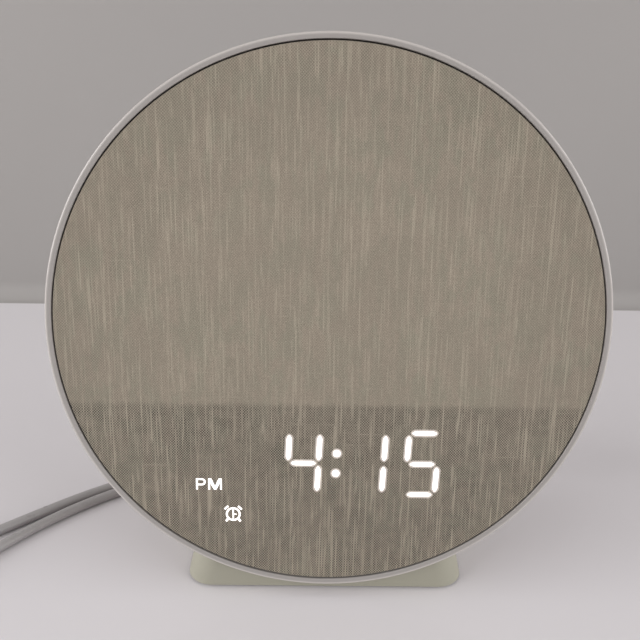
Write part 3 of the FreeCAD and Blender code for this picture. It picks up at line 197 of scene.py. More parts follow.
# The coil and the short run from it to the adapter, in millimetres
COIL_LEFT = -29.0
COIL_FRONT = 53.5
COIL_LOW = 3.1
COIL_MEAN_RADIUS = 20.0
COIL_TURN_PITCH = 5.3
COIL_LAYER_PITCH = 5.0
COIL_LAYERS = 4
HALF_TURNS_IN_LAYER = 3
ADAPTER_RUN = (-25.0, -15.0, 0.0, 12.0)

# The table and the backdrop that it turns up into, in metres
STAGE_HALF_WIDTH = 1.6
TABLE_FRONT = -1.2
BACKDROP_PLACE = 0.25
BACKDROP_HEIGHT = 1.4
BACKDROP_BEND = 0.012
BEND_STEPS = 8

# The lamps: name, place, size in metres and power as a multiple of the overhead lamp's
LAMPS = (
    ("overhead", (0.1, 0.25, 1.5), (2.2, 1.8), 1.0),
    ("left", (-1.5, -0.45, 0.6), (2.0, 1.0), 6.5),
    ("right", (1.5, -0.55, 0.6), (2.0, 1.0), 5.0),
)
LAMP_AIM = Vector((0, 0, 0.08))
ROOM_TINT = (1.0, 0.985, 0.97, 1)

# The camera's place across, up and behind the disc's face, and its turns about x, y and z in degrees
CAMERA_PLACE = (-4.878 * MM, 64.214 * MM, -247.63 * MM)
CAMERA_TURNS = (66.3318, -0.7776, -0.0844)
SENSOR_WIDTH = 36
NEAREST_SEEN = 0.01

# Where each material's nodes stand in the editor
NODES_IN_ROW = 13
FIRST_NODE = (-2400, 600)
NODE_SPACING = (170, 260)


def disc_point(x, y, depth=0.0):
    """A point of the clock from its place on the disc and its depth behind the ring's face."""
    return DISC_CENTRE + ACROSS * x + UP_DISC * y - OUT_OF_DISC * depth


def linear(red, green, blue):
    """A screen colour from 0 to 255, as the linear values that materials take."""
    shares = [value / 255 for value in (red, green, blue)]
    return [s / 12.92 if s <= 0.04045 else ((s + 0.055) / 1.055) ** 2.4 for s in shares]


def shade(colour, factor):
    """A colour made darker or lighter."""
    return [min(1.0, value * factor) for value in colour]


def colour_setting(name, description, default):
    """A colour that can be changed in the sidebar."""
    return FloatVectorProperty(
        name=name, description=description, default=default, min=0, max=1, size=3, subtype="COLOR"
    )


def length_setting(name, description, default, least, most):
    """A length that can be changed in the sidebar."""
    return FloatProperty(
        name=name, description=description, default=default, min=least, max=most, subtype="DISTANCE"
    )


class ClothSettings(bpy.types.PropertyGroup):
    """The woven front."""

    thread_pitch: length_setting(
        "Thread pitch", "Distance from one thread to the next", 0.46 * MM, 0.2 * MM, 3 * MM
    )
    slub_length: length_setting(
        "Slub length", "Usual length of a thread's thick, pale stretches", 24 * MM, 1 * MM, 100 * MM
    )
    yarn: colour_setting("Yarn", "Colour of the usual yarn", linear(160, 148, 132))
    green_yarn: colour_setting("Greenish yarn", "Colour of the greener patches", linear(150, 144, 127))
    pale_yarn: colour_setting("Pale yarn", "Colour of the thick, pale stretches", linear(182, 171, 153))
    gap: colour_setting("Gaps", "Colour seen between the threads over the dark mask", linear(27, 23, 18))
    mark_strength: FloatProperty(
        name="Display light",
        description="Brightness of the digits behind the cloth",
        default=1.5,
        min=0,
        max=20,
    )
    glow_share: FloatProperty(
        name="Glow share",
        description="Brightness of the digits' soft edge beside theirs",
        default=0.16,
        min=0,
        max=1,
        subtype="FACTOR",
    )


class CaseSettings(bpy.types.PropertyGroup):
    """The ring, the housing and its buttons."""

    shell: colour_setting("Shell", "Moulded ring and housing", linear(188, 182, 178))
    buttons: colour_setting("Buttons", "Buttons and keys", linear(196, 190, 185))
    # The foot's colour is the shell's plastic made darker and greener: painted shade of the foot under the
    # disc
    foot: colour_setting("Foot", "Moulded foot", linear(165, 162, 147))


class LeadSettings(bpy.types.PropertyGroup):
    """The power lead and its adapter."""

    diameter: length_setting("Diameter", "Thickness of the lead", 4 * MM, 1 * MM, 10 * MM)
    points_per_turn: IntProperty(
        name="Points per turn", description="Points of each turn of the coil", default=16, min=12, max=48
    )
    sleeve: colour_setting("Sleeve", "The lead's sleeve", linear(170, 166, 166))
    adapter: colour_setting("Adapter", "The adapter, plug and strain reliefs", linear(196, 192, 190))


class StageSettings(bpy.types.PropertyGroup):
    """Table, backdrop, lamps and camera."""

    table: colour_setting("Table", "Glossy pale table top", linear(226, 222, 225))
    wall: colour_setting("Backdrop", "Backdrop behind the table", linear(164, 160, 158))
    overhead: FloatProperty(
        name="Overhead lamp",
        description="Power of the wide lamp overhead, which the side lamps follow",
        default=3.95,
        min=0,
        subtype="POWER",
    )
    room: FloatProperty(name="Room light", description="Strength of the even light", default=0.34, min=0)
    lens: FloatProperty(
        name="Lens",
        description="Focal length on a sensor 36 mm wide",
        default=42.995,
        min=10,
        max=200,
        unit="CAMERA",
    )


class Recipe:
    """One material's nodes, set out from left to right as they are added."""

    def __init__(self, name, roughness, **uniform):
        self.material = bpy.data.materials.new(name)
        self.material.use_nodes = True
        self.tree = self.material.node_tree
        self.shader = self.tree.nodes["Principled BSDF"]
        self.count = 0
        self.surface("Roughness", roughness)
        for socket, value in uniform.items():
            self.surface(socket.replace("_", " "), value)
        self.place = self.add("ShaderNodeTexCoord").outputs["Object"]

    def add(self, kind, **values):
        """A node with its own settings."""
        node = self.tree.nodes.new(kind)
        self.count += 1
        row, column = divmod(self.count, NODES_IN_ROW)
        node.location = (FIRST_NODE[0] + NODE_SPACING[0] * column, FIRST_NODE[1] - NODE_SPACING[1] * row)
        for name, value in values.items():
            setattr(node, name, value)
        return node

    def feed(self, socket, source):
        """Put a number, a colour or another node's output into a socket."""
        if isinstance(source, bpy.types.NodeSocket):
            self.tree.links.new(source, socket)
        else:
            socket.default_value = source

    def surface(self, socket, source):
        """Set one of the surface's values, such as its colour or roughness."""
        self.feed(self.shader.inputs[socket], source)

    def maths(self, operation, *sources):
        """One sum on numbers."""
        node = self.add("ShaderNodeMath", operation=operation)
        for socket, source in zip(node.inputs, sources):
            self.feed(socket, source)
        return node.outputs[0]

    def product(self, first, *others):
        """Numbers multiplied together."""
        for source in others:
            first = self.maths("MULTIPLY", first, source)
        return first

    def vector(self, operation, first, second):
        """One sum on vectors."""
        node = self.add("ShaderNodeVectorMath", operation=operation)
        self.feed(node.inputs[0], first)
        self.feed(node.inputs[1], second)
        return node.outputs["Value" if operation == "DOT_PRODUCT" else "Vector"]

    def combine(self, x, y, z):
        """A vector from three numbers."""
        node = self.add("ShaderNodeCombineXYZ")
        for socket, source in zip(node.inputs, (x, y, z)):
            self.feed(socket, source)
        return node.outputs[0]

    def noise(self, scale, detail=2.0, where=None, roughness=0.5):
        """Soft noise from 0 to 1. Its scale is in waves to the metre, unless another place is given."""
        node = self.add("ShaderNodeTexNoise")
        self.feed(node.inputs["Vector"], where or self.place)
        for socket, value in (("Scale", scale), ("Detail", detail), ("Roughness", roughness)):
            self.feed(node.inputs[socket], value)
        return node.outputs["Fac"]

    def thread_noise(self, thread, step, along, layer, detail):
        """Noise that drifts along each upright thread or streak and differs from one to the next."""
        return self.noise(1.0, detail, self.combine(self.product(thread, step), along, layer))

    def ramp(self, source, low, high, start=0.0, end=1.0, smooth=True):
        """A number moved from one range to another, held at its ends."""
        node = self.add("ShaderNodeMapRange", interpolation_type="SMOOTHSTEP" if smooth else "LINEAR")
        names = ("Value", "From Min", "From Max", "To Min", "To Max")
        for name, value in zip(names, (source, low, high, start, end)):
            self.feed(node.inputs[name], value)
        return node.outputs["Result"]

    def blend(self, share, first, second):
        """Two colours, mixed by a share."""
        node = self.add("ShaderNodeMix", data_type="RGBA", blend_type="MIX")
        self.feed(node.inputs["Factor"], share)
        for name, source in (("A", first), ("B", second)):
            socket = [s for s in node.inputs if s.name == name and s.type == "RGBA"][0]
            self.feed(socket, source if isinstance(source, bpy.types.NodeSocket) else (*source, 1.0))
        return [s for s in node.outputs if s.type == "RGBA"][0]

    def clouds(self, share, colour, dark, light):
        """A colour that goes from a darker to a lighter shade of itself as a share grows."""
        return self.blend(share, shade(colour, dark), shade(colour, light))

    def bump(self, height, strength, distance):
        """Fine relief."""
        node = self.add("ShaderNodeBump")
        for socket, value in (("Height", height), ("Strength", strength), ("Distance", distance)):
            self.feed(node.inputs[socket], value)
        self.surface("Normal", node.outputs["Normal"])


def moulded_finish(name, colour, roughness=0.42, grain=0.25, grain_size=MOULD_GRAIN):
    """Moulded plastic: a faint mould texture, soft blotches and uneven sheen."""
    recipe = Recipe(name, roughness)
    recipe.surface("Base Color", recipe.clouds(recipe.noise(28, 3), colour, 0.97, 1.03))
    sheen = recipe.ramp(recipe.noise(90, 4), 0.3, 0.7, roughness - 0.05, roughness + 0.06)
    recipe.surface("Roughness", sheen)
    recipe.bump(recipe.noise(1 / grain_size), grain, MOULD_RELIEF)
    return recipe.material


def place_on_disc(recipe):
    """How far across, up and out from the middle of the disc each spot of the surface is."""
    spot = recipe.vector("SUBTRACT", recipe.place, tuple(DISC_CENTRE))
    across = recipe.vector("DOT_PRODUCT", spot, tuple(ACROSS))
    height = recipe.vector("DOT_PRODUCT", spot, tuple(UP_DISC))
    squares = recipe.maths("MULTIPLY_ADD", across, across, recipe.product(height, height))
    return across, height, recipe.maths("SQRT", squares)


def ring_finish(name, colour):
    """The ring's satin plastic, with a painted highlight, a lighter and glossier band, along its outer
    corner.
    """
    recipe = Recipe(name, 0.4)
    reach = place_on_disc(recipe)[2]
    # The band along the outer corner is a painted highlight: lighter in colour and lower in roughness
    edge = recipe.ramp(reach, RING_RADIUS - HIGHLIGHT_START, RING_RADIUS - HIGHLIGHT_FULL)
    face = recipe.clouds(recipe.noise(28, 3), colour, 0.97, 1.03)
    recipe.surface("Base Color", recipe.blend(edge, face, shade(colour, PAINTED_HIGHLIGHT_LIFT)))
    recipe.surface("Roughness", recipe.ramp(edge, 0, 1, 0.42, 0.22))
    recipe.bump(recipe.noise(1 / MOULD_GRAIN), 0.12, MOULD_RELIEF)
    return recipe.material


def metal_finish(name, colour, roughness=0.35):
    """Plated or drawn metal: directional scratches and blotches."""
    recipe = Recipe(name, roughness, Metallic=1.0)
    scratch = recipe.noise(1, 3, recipe.vector("MULTIPLY", recipe.place, SCRATCH_WAVES))
    recipe.surface("Base Color", recipe.clouds(scratch, colour, 0.85, 1.1))
    recipe.surface("Roughness", recipe.ramp(scratch, 0.2, 0.8, roughness - 0.1, roughness + 0.1))
    recipe.bump(scratch, 0.2, FINE_RELIEF)
    return recipe.material


def painted_finish(name, colour, roughness=0.5):
    """Blackened or painted metal with an orange-peel surface."""
    recipe = Recipe(name, roughness, Metallic=0.3)
    recipe.surface("Base Color", recipe.clouds(recipe.noise(60, 3), colour, 0.8, 1.2))
    recipe.bump(recipe.noise(900), 0.3, MOULD_RELIEF)
    return recipe.material


def rubber_finish(name, colour, roughness=0.6, grain=0.4):
    """Dull rubber or soft sleeve with a fine bloom."""
    recipe = Recipe(name, roughness)
    bloom = recipe.noise(140, 4)
    recipe.surface("Base Color", recipe.clouds(bloom, colour, 0.93, 1.07))
    recipe.surface("Roughness", recipe.ramp(bloom, 0.2, 0.8, roughness - 0.08, roughness + 0.08))
    recipe.bump(recipe.noise(2500), grain, FINE_RELIEF)
    return recipe.material


def board_finish(name, colour):
    """Circuit board: solder mask over copper tracks."""
    recipe = Recipe(name, 0.35, Coat_Weight=0.4)
    tracks = recipe.add("ShaderNodeTexBrick", offset=0.5)
    recipe.feed(tracks.inputs["Vector"], recipe.place)
    recipe.feed(tracks.inputs["Scale"], 160)
    recipe.feed(tracks.inputs["Mortar Size"], 0.03)
    for socket, factor in (("Color1", 1.0), ("Color2", 1.25), ("Mortar", 1.9)):
        recipe.feed(tracks.inputs[socket], (*shade(colour, factor), 1))
    mask = recipe.blend(recipe.noise(300), tracks.outputs["Color"], shade(colour, 0.8))
    recipe.surface("Base Color", mask)
    recipe.bump(tracks.outputs["Fac"], 0.3, MOULD_RELIEF)
    return recipe.material


def grille_cloth_finish(name, colour):
    """Thin black grille cloth or paper: a fine even weave."""
    recipe = Recipe(name, 0.9, Sheen_Weight=0.2)
    threads = recipe.add("ShaderNodeTexVoronoi", feature="F1")
    recipe.feed(threads.inputs["Vector"], recipe.place)
    recipe.feed(threads.inputs["Scale"], 2600)
    recipe.surface("Base Color", recipe.clouds(threads.outputs["Distance"], colour, 0.5, 1.8))
    recipe.bump(threads.outputs["Distance"], 0.5, SOFT_RELIEF)
    return recipe.material


def milky_finish(name, colour, glow=0.0):
    """Milky plastic that light shines through."""
    recipe = Recipe(name, 0.4, Subsurface_Weight=0.15, Subsurface_Scale=2 * MM)
    recipe.surface("Base Color", recipe.clouds(recipe.noise(40), colour, 0.97, 1.0))
    recipe.bump(recipe.noise(600), 0.1, FINE_RELIEF)
    if glow:
        recipe.surface("Emission Color", (1, 1, 1, 1))
        recipe.surface("Emission Strength", glow)
    return recipe.material


def weave(recipe, settings):
    """The cover's threads: their weight, thick pale stretches and streaks, and where they cross."""
    across, height, reach = place_on_disc(recipe)
    sway = recipe.product(recipe.maths("SUBTRACT", recipe.noise(9, 1), 0.5), THREAD_SWAY)
    warp = recipe.maths("ADD", recipe.maths("DIVIDE", across, settings.thread_pitch), sway)
    weft_pitch = settings.thread_pitch * WEFT_PITCH_SHARE
    weft = recipe.maths("ADD", recipe.maths("DIVIDE", height, weft_pitch), sway)
    upright = recipe.maths("FLOOR", warp)
    level = recipe.maths("FLOOR", weft)
    streak = recipe.maths("FLOOR", recipe.product(warp, STREAKS_PER_THREAD))
    up = recipe.maths("DIVIDE", height, settings.slub_length)
    along = recipe.maths("DIVIDE", across, settings.slub_length)
    slub_noise = recipe.thread_noise(upright, SLUB_STEP, up, 0.0, 3)
    streak_noise = recipe.thread_noise(streak, STREAK_STEP, up, 3.0, 2)
    weight = recipe.thread_noise(upright, WEIGHT_STEP, 4.0, 4.0, 1)
    cross_noise = recipe.noise(1.0, 3, recipe.combine(along, recipe.product(level, CROSS_STEP), 9.0))
    warp_wave = recipe.maths("SINE", recipe.product(warp, pi))
    weft_wave = recipe.maths("SINE", recipe.product(weft, pi))
    return {
        "height": height,
        "reach": reach,
        "slub": recipe.ramp(slub_noise, 0.49, 0.64),
        "streak": recipe.ramp(streak_noise, 0.35, 0.65),
        "cross": recipe.ramp(cross_noise, 0.62, 0.76),
        "weight": weight,
        "check": recipe.product(warp_wave, weft_wave),
    }


def yarn_colour(recipe, settings, threads):
    """The yarn's own colour: greener patches, then darker clouds, threads, specks and streaks."""
    stretched = recipe.vector("MULTIPLY", recipe.place, PATCH_STRETCH)
    patches = recipe.ramp(recipe.noise(170, 4, stretched, 0.65), 0.42, 0.58)
    yarn = recipe.blend(patches, settings.yarn, settings.green_yarn)
    clouds = recipe.ramp(recipe.noise(48, 3), 0.35, 0.65, 0.0, 0.6)
    thin_threads = recipe.ramp(threads["weight"], 0.25, 0.75, 0.18, 0.0)
    specks = recipe.ramp(recipe.noise(1100), 0.35, 0.65, 0.0, 0.4)
    streaks = recipe.product(threads["streak"], 0.13)
    for share, factor in ((clouds, 0.9), (thin_threads, 0.78), (specks, 0.8), (streaks, 0.78)):
        yarn = recipe.blend(share, yarn, shade(settings.yarn, factor))
    return yarn


def cloth_finish(settings):
    """The cover's cloth in daylight, with a stronger weave below, where the black mask is behind it."""
    recipe = Recipe("woven cover", 0.85, Sheen_Weight=0.2, Sheen_Roughness=0.5)
    threads = weave(recipe, settings)
    below = recipe.ramp(threads["height"], MASK_TOP + MASK_FADE_ABOVE, MASK_TOP - MASK_FADE_BELOW)
    dots = recipe.ramp(threads["check"], 0.4, -0.3)
    fine_mottle = recipe.ramp(recipe.noise(260), 0.3, 0.7, 0.78, 1.0)
    wide_mottle = recipe.ramp(recipe.noise(38), 0.3, 0.7, 0.86, 1.0)
    depth_above = recipe.ramp(threads["reach"], GAPS_DEEPEN_FROM, COVER_RADIUS, 0.2, 0.4)
    depth = recipe.ramp(below, 0, 1, depth_above, 0.92, smooth=False)
    gap = recipe.product(dots, recipe.product(fine_mottle, wide_mottle), depth)
    slub = recipe.product(threads["slub"], recipe.ramp(threads["weight"], 0.35, 0.65, 0.3, 1.0))
    pale = recipe.maths("MAXIMUM", slub, recipe.product(threads["cross"], 0.4))
    pale = recipe.product(pale, recipe.ramp(below, 0, 1, 0.45, 0.56, smooth=False))
    yarn = yarn_colour(recipe, settings, threads)
    yarn = recipe.blend(recipe.product(below, 0.12), yarn, settings.pale_yarn)
    cloth = recipe.blend(gap, yarn, settings.gap)
    recipe.surface("Base Color", recipe.blend(pale, cloth, settings.pale_yarn))
    recipe.bump(threads["check"], 0.3, WEAVE_RELIEF)
    return recipe.material


def mark_finish(settings, name, tint, strength):
    """The cloth where a lit mark or its soft edge shines through it."""
    recipe = Recipe(name, 0.85)
    threads = weave(recipe, settings)
    recipe.surface("Base Color", recipe.blend(threads["slub"], settings.yarn, settings.pale_yarn))
    recipe.surface("Emission Color", (*tint, 1))
    recipe.surface("Emission Strength", strength)
    recipe.bump(threads["check"], 0.2, WEAVE_RELIEF)
    return recipe.material


def arc(x, y, radius, start, end, steps):
    """Points along an arc round a centre, from one angle to another."""
    angles = [start + (end - start) * step / steps for step in range(steps + 1)]
    return [(x + radius * cos(angle), y + radius * sin(angle)) for angle in angles]


def circle(x, y, radius, count=28):
    """A closed ring of points."""
    return arc(x, y, radius, 0, 2 * pi, count)[:-1]


def tapered_bar(x, y, length, thickness, upright):
    """The outline of one bar of a digit, with blunt drawn-in ends and the digits' slant."""
    quarter = [(length / 2 - inset, thickness / 2 * share) for inset, share in BAR_END_SHARES]
    outline = [(a, -b) for a, b in quarter] + quarter[::-1]
    outline += [(-a, b) for a, b in quarter] + [(-a, -b) for a, b in quarter[::-1]]
    if upright:
        return [(x - b + DIGIT_SLANT * a, y + a) for a, b in outline]
    return [(x + a, y + b) for a, b in outline]


def digit_outlines(spread=0.0):
    """The lit bars and the colon, reading a quarter past four, all widened by a spread."""
    outlines = []
    for centre, names in SHOWN_DIGITS:
        for name in names:
            side, level = BAR_PLACES[name]
            rise = level * DIGIT_HALF_HEIGHT / (2 if side else 1)
            x = centre + side * DIGIT_HALF_WIDTH + DIGIT_SLANT * rise
            length, thickness = [size + 2 * spread for size in (UPRIGHT_BAR if side else LEVEL_BAR)]
            outlines.append(tapered_bar(x, DIGIT_ROW + rise, length, thickness, bool(side)))
    for side in (-1, 1):
        x = COLON_X + side * DIGIT_SLANT * COLON_HALF_GAP
        outlines.append(circle(x, DIGIT_ROW + side * COLON_HALF_GAP, DOT_RADIUS + spread))
    return outlines


def first_letter():
    """The afternoon sign's first letter, and the hole in its bowl."""
    stem_right = STEM_X + PEN
    bowl_x = STEM_X + BOWL_REACH
    bowl_y = LETTERS_HIGH - BOWL_RADIUS
    inner = BOWL_RADIUS - PEN
    outline = [(STEM_X, LETTERS_LOW), (stem_right, LETTERS_LOW), (stem_right, bowl_y - BOWL_RADIUS)]
    outline += arc(bowl_x, bowl_y, BOWL_RADIUS, -pi / 2, pi / 2, BOWL_STEPS) + [(STEM_X, LETTERS_HIGH)]
    hole = [(stem_right, bowl_y - inner)]
    hole += arc(bowl_x, bowl_y, inner, -pi / 2, pi / 2, BOWL_STEPS) + [(stem_right, LETTERS_HIGH - PEN)]
    return outline, hole


def second_letter():
    """The afternoon sign's second letter: its left stem and stroke, the same mirrored, and its top."""
    side = SECOND_LETTER_HALF_WIDTH
    slant = side - SLANT_TOP
    half = [(-side, LETTERS_HIGH), (-side, LETTERS_LOW), (PEN - side, LETTERS_LOW)]
    half += [(PEN - side, LETTERS_HIGH - SLANT_DROP), (-POINT_HALF_WIDTH, LETTERS_LOW)]
    top = [(slant, LETTERS_HIGH), (0, LETTERS_LOW + NOTCH_HEIGHT), (-slant, LETTERS_HIGH)]
    outline = half + [(-x, y) for x, y in half[::-1]] + top
    return [(SECOND_LETTER_X + x, y) for x, y in outline]


def box(left, low, right, high):
    """The outline of a plain box."""
    return [(left, low), (right, low), (right, high), (left, high)]


def alarm_sign():
    """The sign's dial with two bells and two feet, the hole in the dial, and its two hands."""
    solid = [circle(0, 0, DIAL_RADIUS)]
    bell = arc(0, 0, BELL_REACH, BELL_LOW, BELL_HIGH, BELL_STEPS)
    bell += arc(0, 0, BELL_REACH - BELL_THICKNESS, BELL_HIGH, BELL_LOW, BELL_STEPS)
    for side in (-1, 1):
        solid += [[(side * x, y) for x, y in outline] for outline in (bell, SIGN_FOOT)]
    hole = [circle(0, 0, DIAL_HOLE_RADIUS)]
    hands = [
        box(-HAND_HALF_WIDTH, -LONG_HAND, HAND_HALF_WIDTH, LONG_HAND),
        box(HAND_HALF_WIDTH, -HAND_HALF_WIDTH, SHORT_HAND, SHORT_HAND_TOP),
    ]
    middle_x, middle_y = SIGN_PLACE
    return [
        [[(middle_x + x, middle_y + y) for x, y in outline] for outline in outlines]
        for outlines in (solid, hole, hands)
    ]


def turn_of(outline):
    """Positive where an outline runs counter-clockwise."""
    return sum(a[0] * b[1] - b[0] * a[1] for a, b in zip(outline, outline[1:] + outline[:1]))


def cover_faces():
    """Points and faces of the cover's flat front in millimetres, and each face's finish."""
    letter, bowl_hole = first_letter()
    sign, dial_hole, hands = alarm_sign()
    groups = {
        "rim": [circle(0, 0, (COVER_RADIUS - COVER_ROUND) / MM, RIM_POINTS)],
        "glow": digit_outlines(GLOW_SPREAD),
        "lit": digit_outlines() + [letter, second_letter()] + sign,
        "hole": [bowl_hole] + dial_hole,
        "hand": hands,
    }
    points, loops, kinds = [], [], []
    for kind, outlines in groups.items():
        for outline in outlines:
            ring = outline if turn_of(outline) > 0 else outline[::-1]
            loops.append(list(range(len(points), len(points) + len(ring))))
            points += [Vector(p) for p in ring]
            kinds.append(kind)
    corners, _, faces, _, _, origins = delaunay_2d_cdt(points, [], loops, ONLY_INSIDE, SAME_POINT)
    finishes = []
    for source in origins:
        inside = {kinds[index] for index in source}
        lit = "hand" in inside or ("lit" in inside and "hole" not in inside)
        finishes.append(LIT_CLOTH if lit else GLOWING_CLOTH if "glow" in inside else CLOTH)
    return corners, faces, finishes


def hem_profile():
    """Radius and depth of the cover from its flat front, round its edge, to its hem."""
    round_depth = COVER_SETBACK + COVER_ROUND
    profile = arc(COVER_RADIUS - COVER_ROUND, round_depth, COVER_ROUND, -pi / 2, 0, ROUND_STEPS)[1:]
    return profile + [(COVER_RADIUS, (round_depth + COVER_HEM) / 2), (COVER_RADIUS, COVER_HEM)]


def finished_mesh(name, mesh):
    """The mesh that an object takes, from the one that was drawn."""
    data = bpy.data.meshes.new(name)
    mesh.to_mesh(data)
    mesh.free()
    return data


def angle_on_disc(corner):
    """A corner's angle round the middle of the disc."""
    return atan2((corner.co - DISC_CENTRE).dot(UP_DISC), corner.co.x)


def cover_mesh():
    """The cover's flat front with its marks, and the edge that turns down into the hem."""
    corners, faces, finishes = cover_faces()
    mesh = bmesh.new()
    front = [mesh.verts.new(disc_point(p.x * MM, p.y * MM, COVER_SETBACK)) for p in corners]
    for loop, finish in zip(faces, finishes):
        face = mesh.faces.new([front[index] for index in loop])
        face.material_index = finish
    rim_from = COVER_RADIUS - COVER_ROUND - RIM_TOLERANCE
    last = [corner for corner, p in zip(front, corners) if hypot(p.x, p.y) * MM > rim_from]
    last.sort(key=angle_on_disc)
    angles = [angle_on_disc(corner) for corner in last]
    for radius, depth in hem_profile():
        ring = [mesh.verts.new(disc_point(radius * cos(a), radius * sin(a), depth)) for a in angles]
        for index in range(len(ring)):
            after = (index + 1) % len(ring)
            face = mesh.faces.new((last[index], ring[index], ring[after], last[after]))
            face.smooth = True
        last = ring
    bmesh.ops.recalc_face_normals(mesh, faces=mesh.faces)
    return finished_mesh("woven cover", mesh)


def place_object(name, data):
    """An object of its own in the scene."""
    thing = bpy.data.objects.new(name, data)
    bpy.context.scene.collection.objects.link(thing)
    return thing


def dress(names, material):
    """Give carried-over pieces a finish."""
    for name in names:
        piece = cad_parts[name]
        piece.data.materials.clear()
        piece.data.materials.append(material)


class CLOCK_OT_stage(bpy.types.Operator):
    """Lay the table and backdrop, hang the lamps and set the camera."""

    bl_idname = "clock.stage"
    bl_label = "Stage"

    def execute(self, context):
        settings = context.scene.clock_stage
        self.set_camera(context, settings)
        self.lay_table(settings)
        self.hang_lamps(settings)
        self.light_room(context, settings)
        context.scene.view_settings.view_transform = "Standard"
        return {"FINISHED"}

    def set_camera(self, context, settings):
        """The photograph's view."""
        sight = bpy.data.cameras.new("camera")
        sight.lens = settings.lens
        sight.sensor_width = SENSOR_WIDTH
        sight.clip_start = NEAREST_SEEN
        camera = place_object("camera", sight)
        turns = Euler([radians(turn) for turn in CAMERA_TURNS])
        camera.matrix_world = Matrix.LocRotScale(disc_point(*CAMERA_PLACE), turns, None)
        context.scene.camera = camera

    def lay_table(self, settings):
        """A table top that turns up into a backdrop behind the clock."""
        bend_start = BACKDROP_PLACE - BACKDROP_BEND
        profile = [(TABLE_FRONT, 0.0)]
        profile += arc(bend_start, BACKDROP_BEND, BACKDROP_BEND, -pi / 2, 0, BEND_STEPS)
        profile.append((BACKDROP_PLACE, BACKDROP_HEIGHT))
        mesh = bmesh.new()
        sides = (-STAGE_HALF_WIDTH, STAGE_HALF_WIDTH)
        left, right = [[mesh.verts.new((x, y, z)) for y, z in profile] for x in sides]
        for index in range(len(profile) - 1):
            face = mesh.faces.new((left[index], right[index], right[index + 1], left[index + 1]))
            face.material_index = 0 if index == 0 else 1
            face.smooth = True
        table = place_object("table_and_backdrop", finished_mesh("table and backdrop", mesh))
        table.data.materials.append(self.table_finish(settings))
        table.data.materials.append(self.wall_finish(settings))

    def table_finish(self, settings):
        """A pale laminate with a soft gloss."""
        recipe = Recipe("table laminate", 0.2, Specular_IOR_Level=0.75)
        recipe.surface("Base Color", recipe.clouds(recipe.noise(6, 3), settings.table, 0.985, 1.01))
        recipe.bump(recipe.noise(40), 0.05, SOFT_RELIEF)
        return recipe.material

    def wall_finish(self, settings):
        """A matt painted board, clear from its back so that the clock shows from behind too."""
        recipe = Recipe("backdrop paint", 0.8)
        recipe.surface("Base Color", recipe.clouds(recipe.noise(3), settings.wall, 0.985, 1.01))
        back = recipe.add("ShaderNodeNewGeometry").outputs["Backfacing"]
        recipe.surface("Alpha", recipe.maths("SUBTRACT", 1.0, back))
        return recipe.material

    def hang_lamps(self, settings):
        """One wide lamp overhead and one on each side."""
        for name, spot, size, power in LAMPS:
            light = bpy.data.lights.new(name, "AREA")
            light.shape = "RECTANGLE"
            light.size, light.size_y = size
            light.energy = settings.overhead * power
            lamp = place_object(name, light)
            lamp.location = spot
            lamp.rotation_euler = (LAMP_AIM - Vector(spot)).to_track_quat("-Z", "Y").to_euler()

    def light_room(self, context, settings):
        """Even light from the room."""
        world = bpy.data.worlds.new("room")
        world.use_nodes = True
        background = world.node_tree.nodes["Background"]
        background.inputs["Color"].default_value = ROOM_TINT
        background.inputs["Strength"].default_value = settings.room
        context.scene.world = world


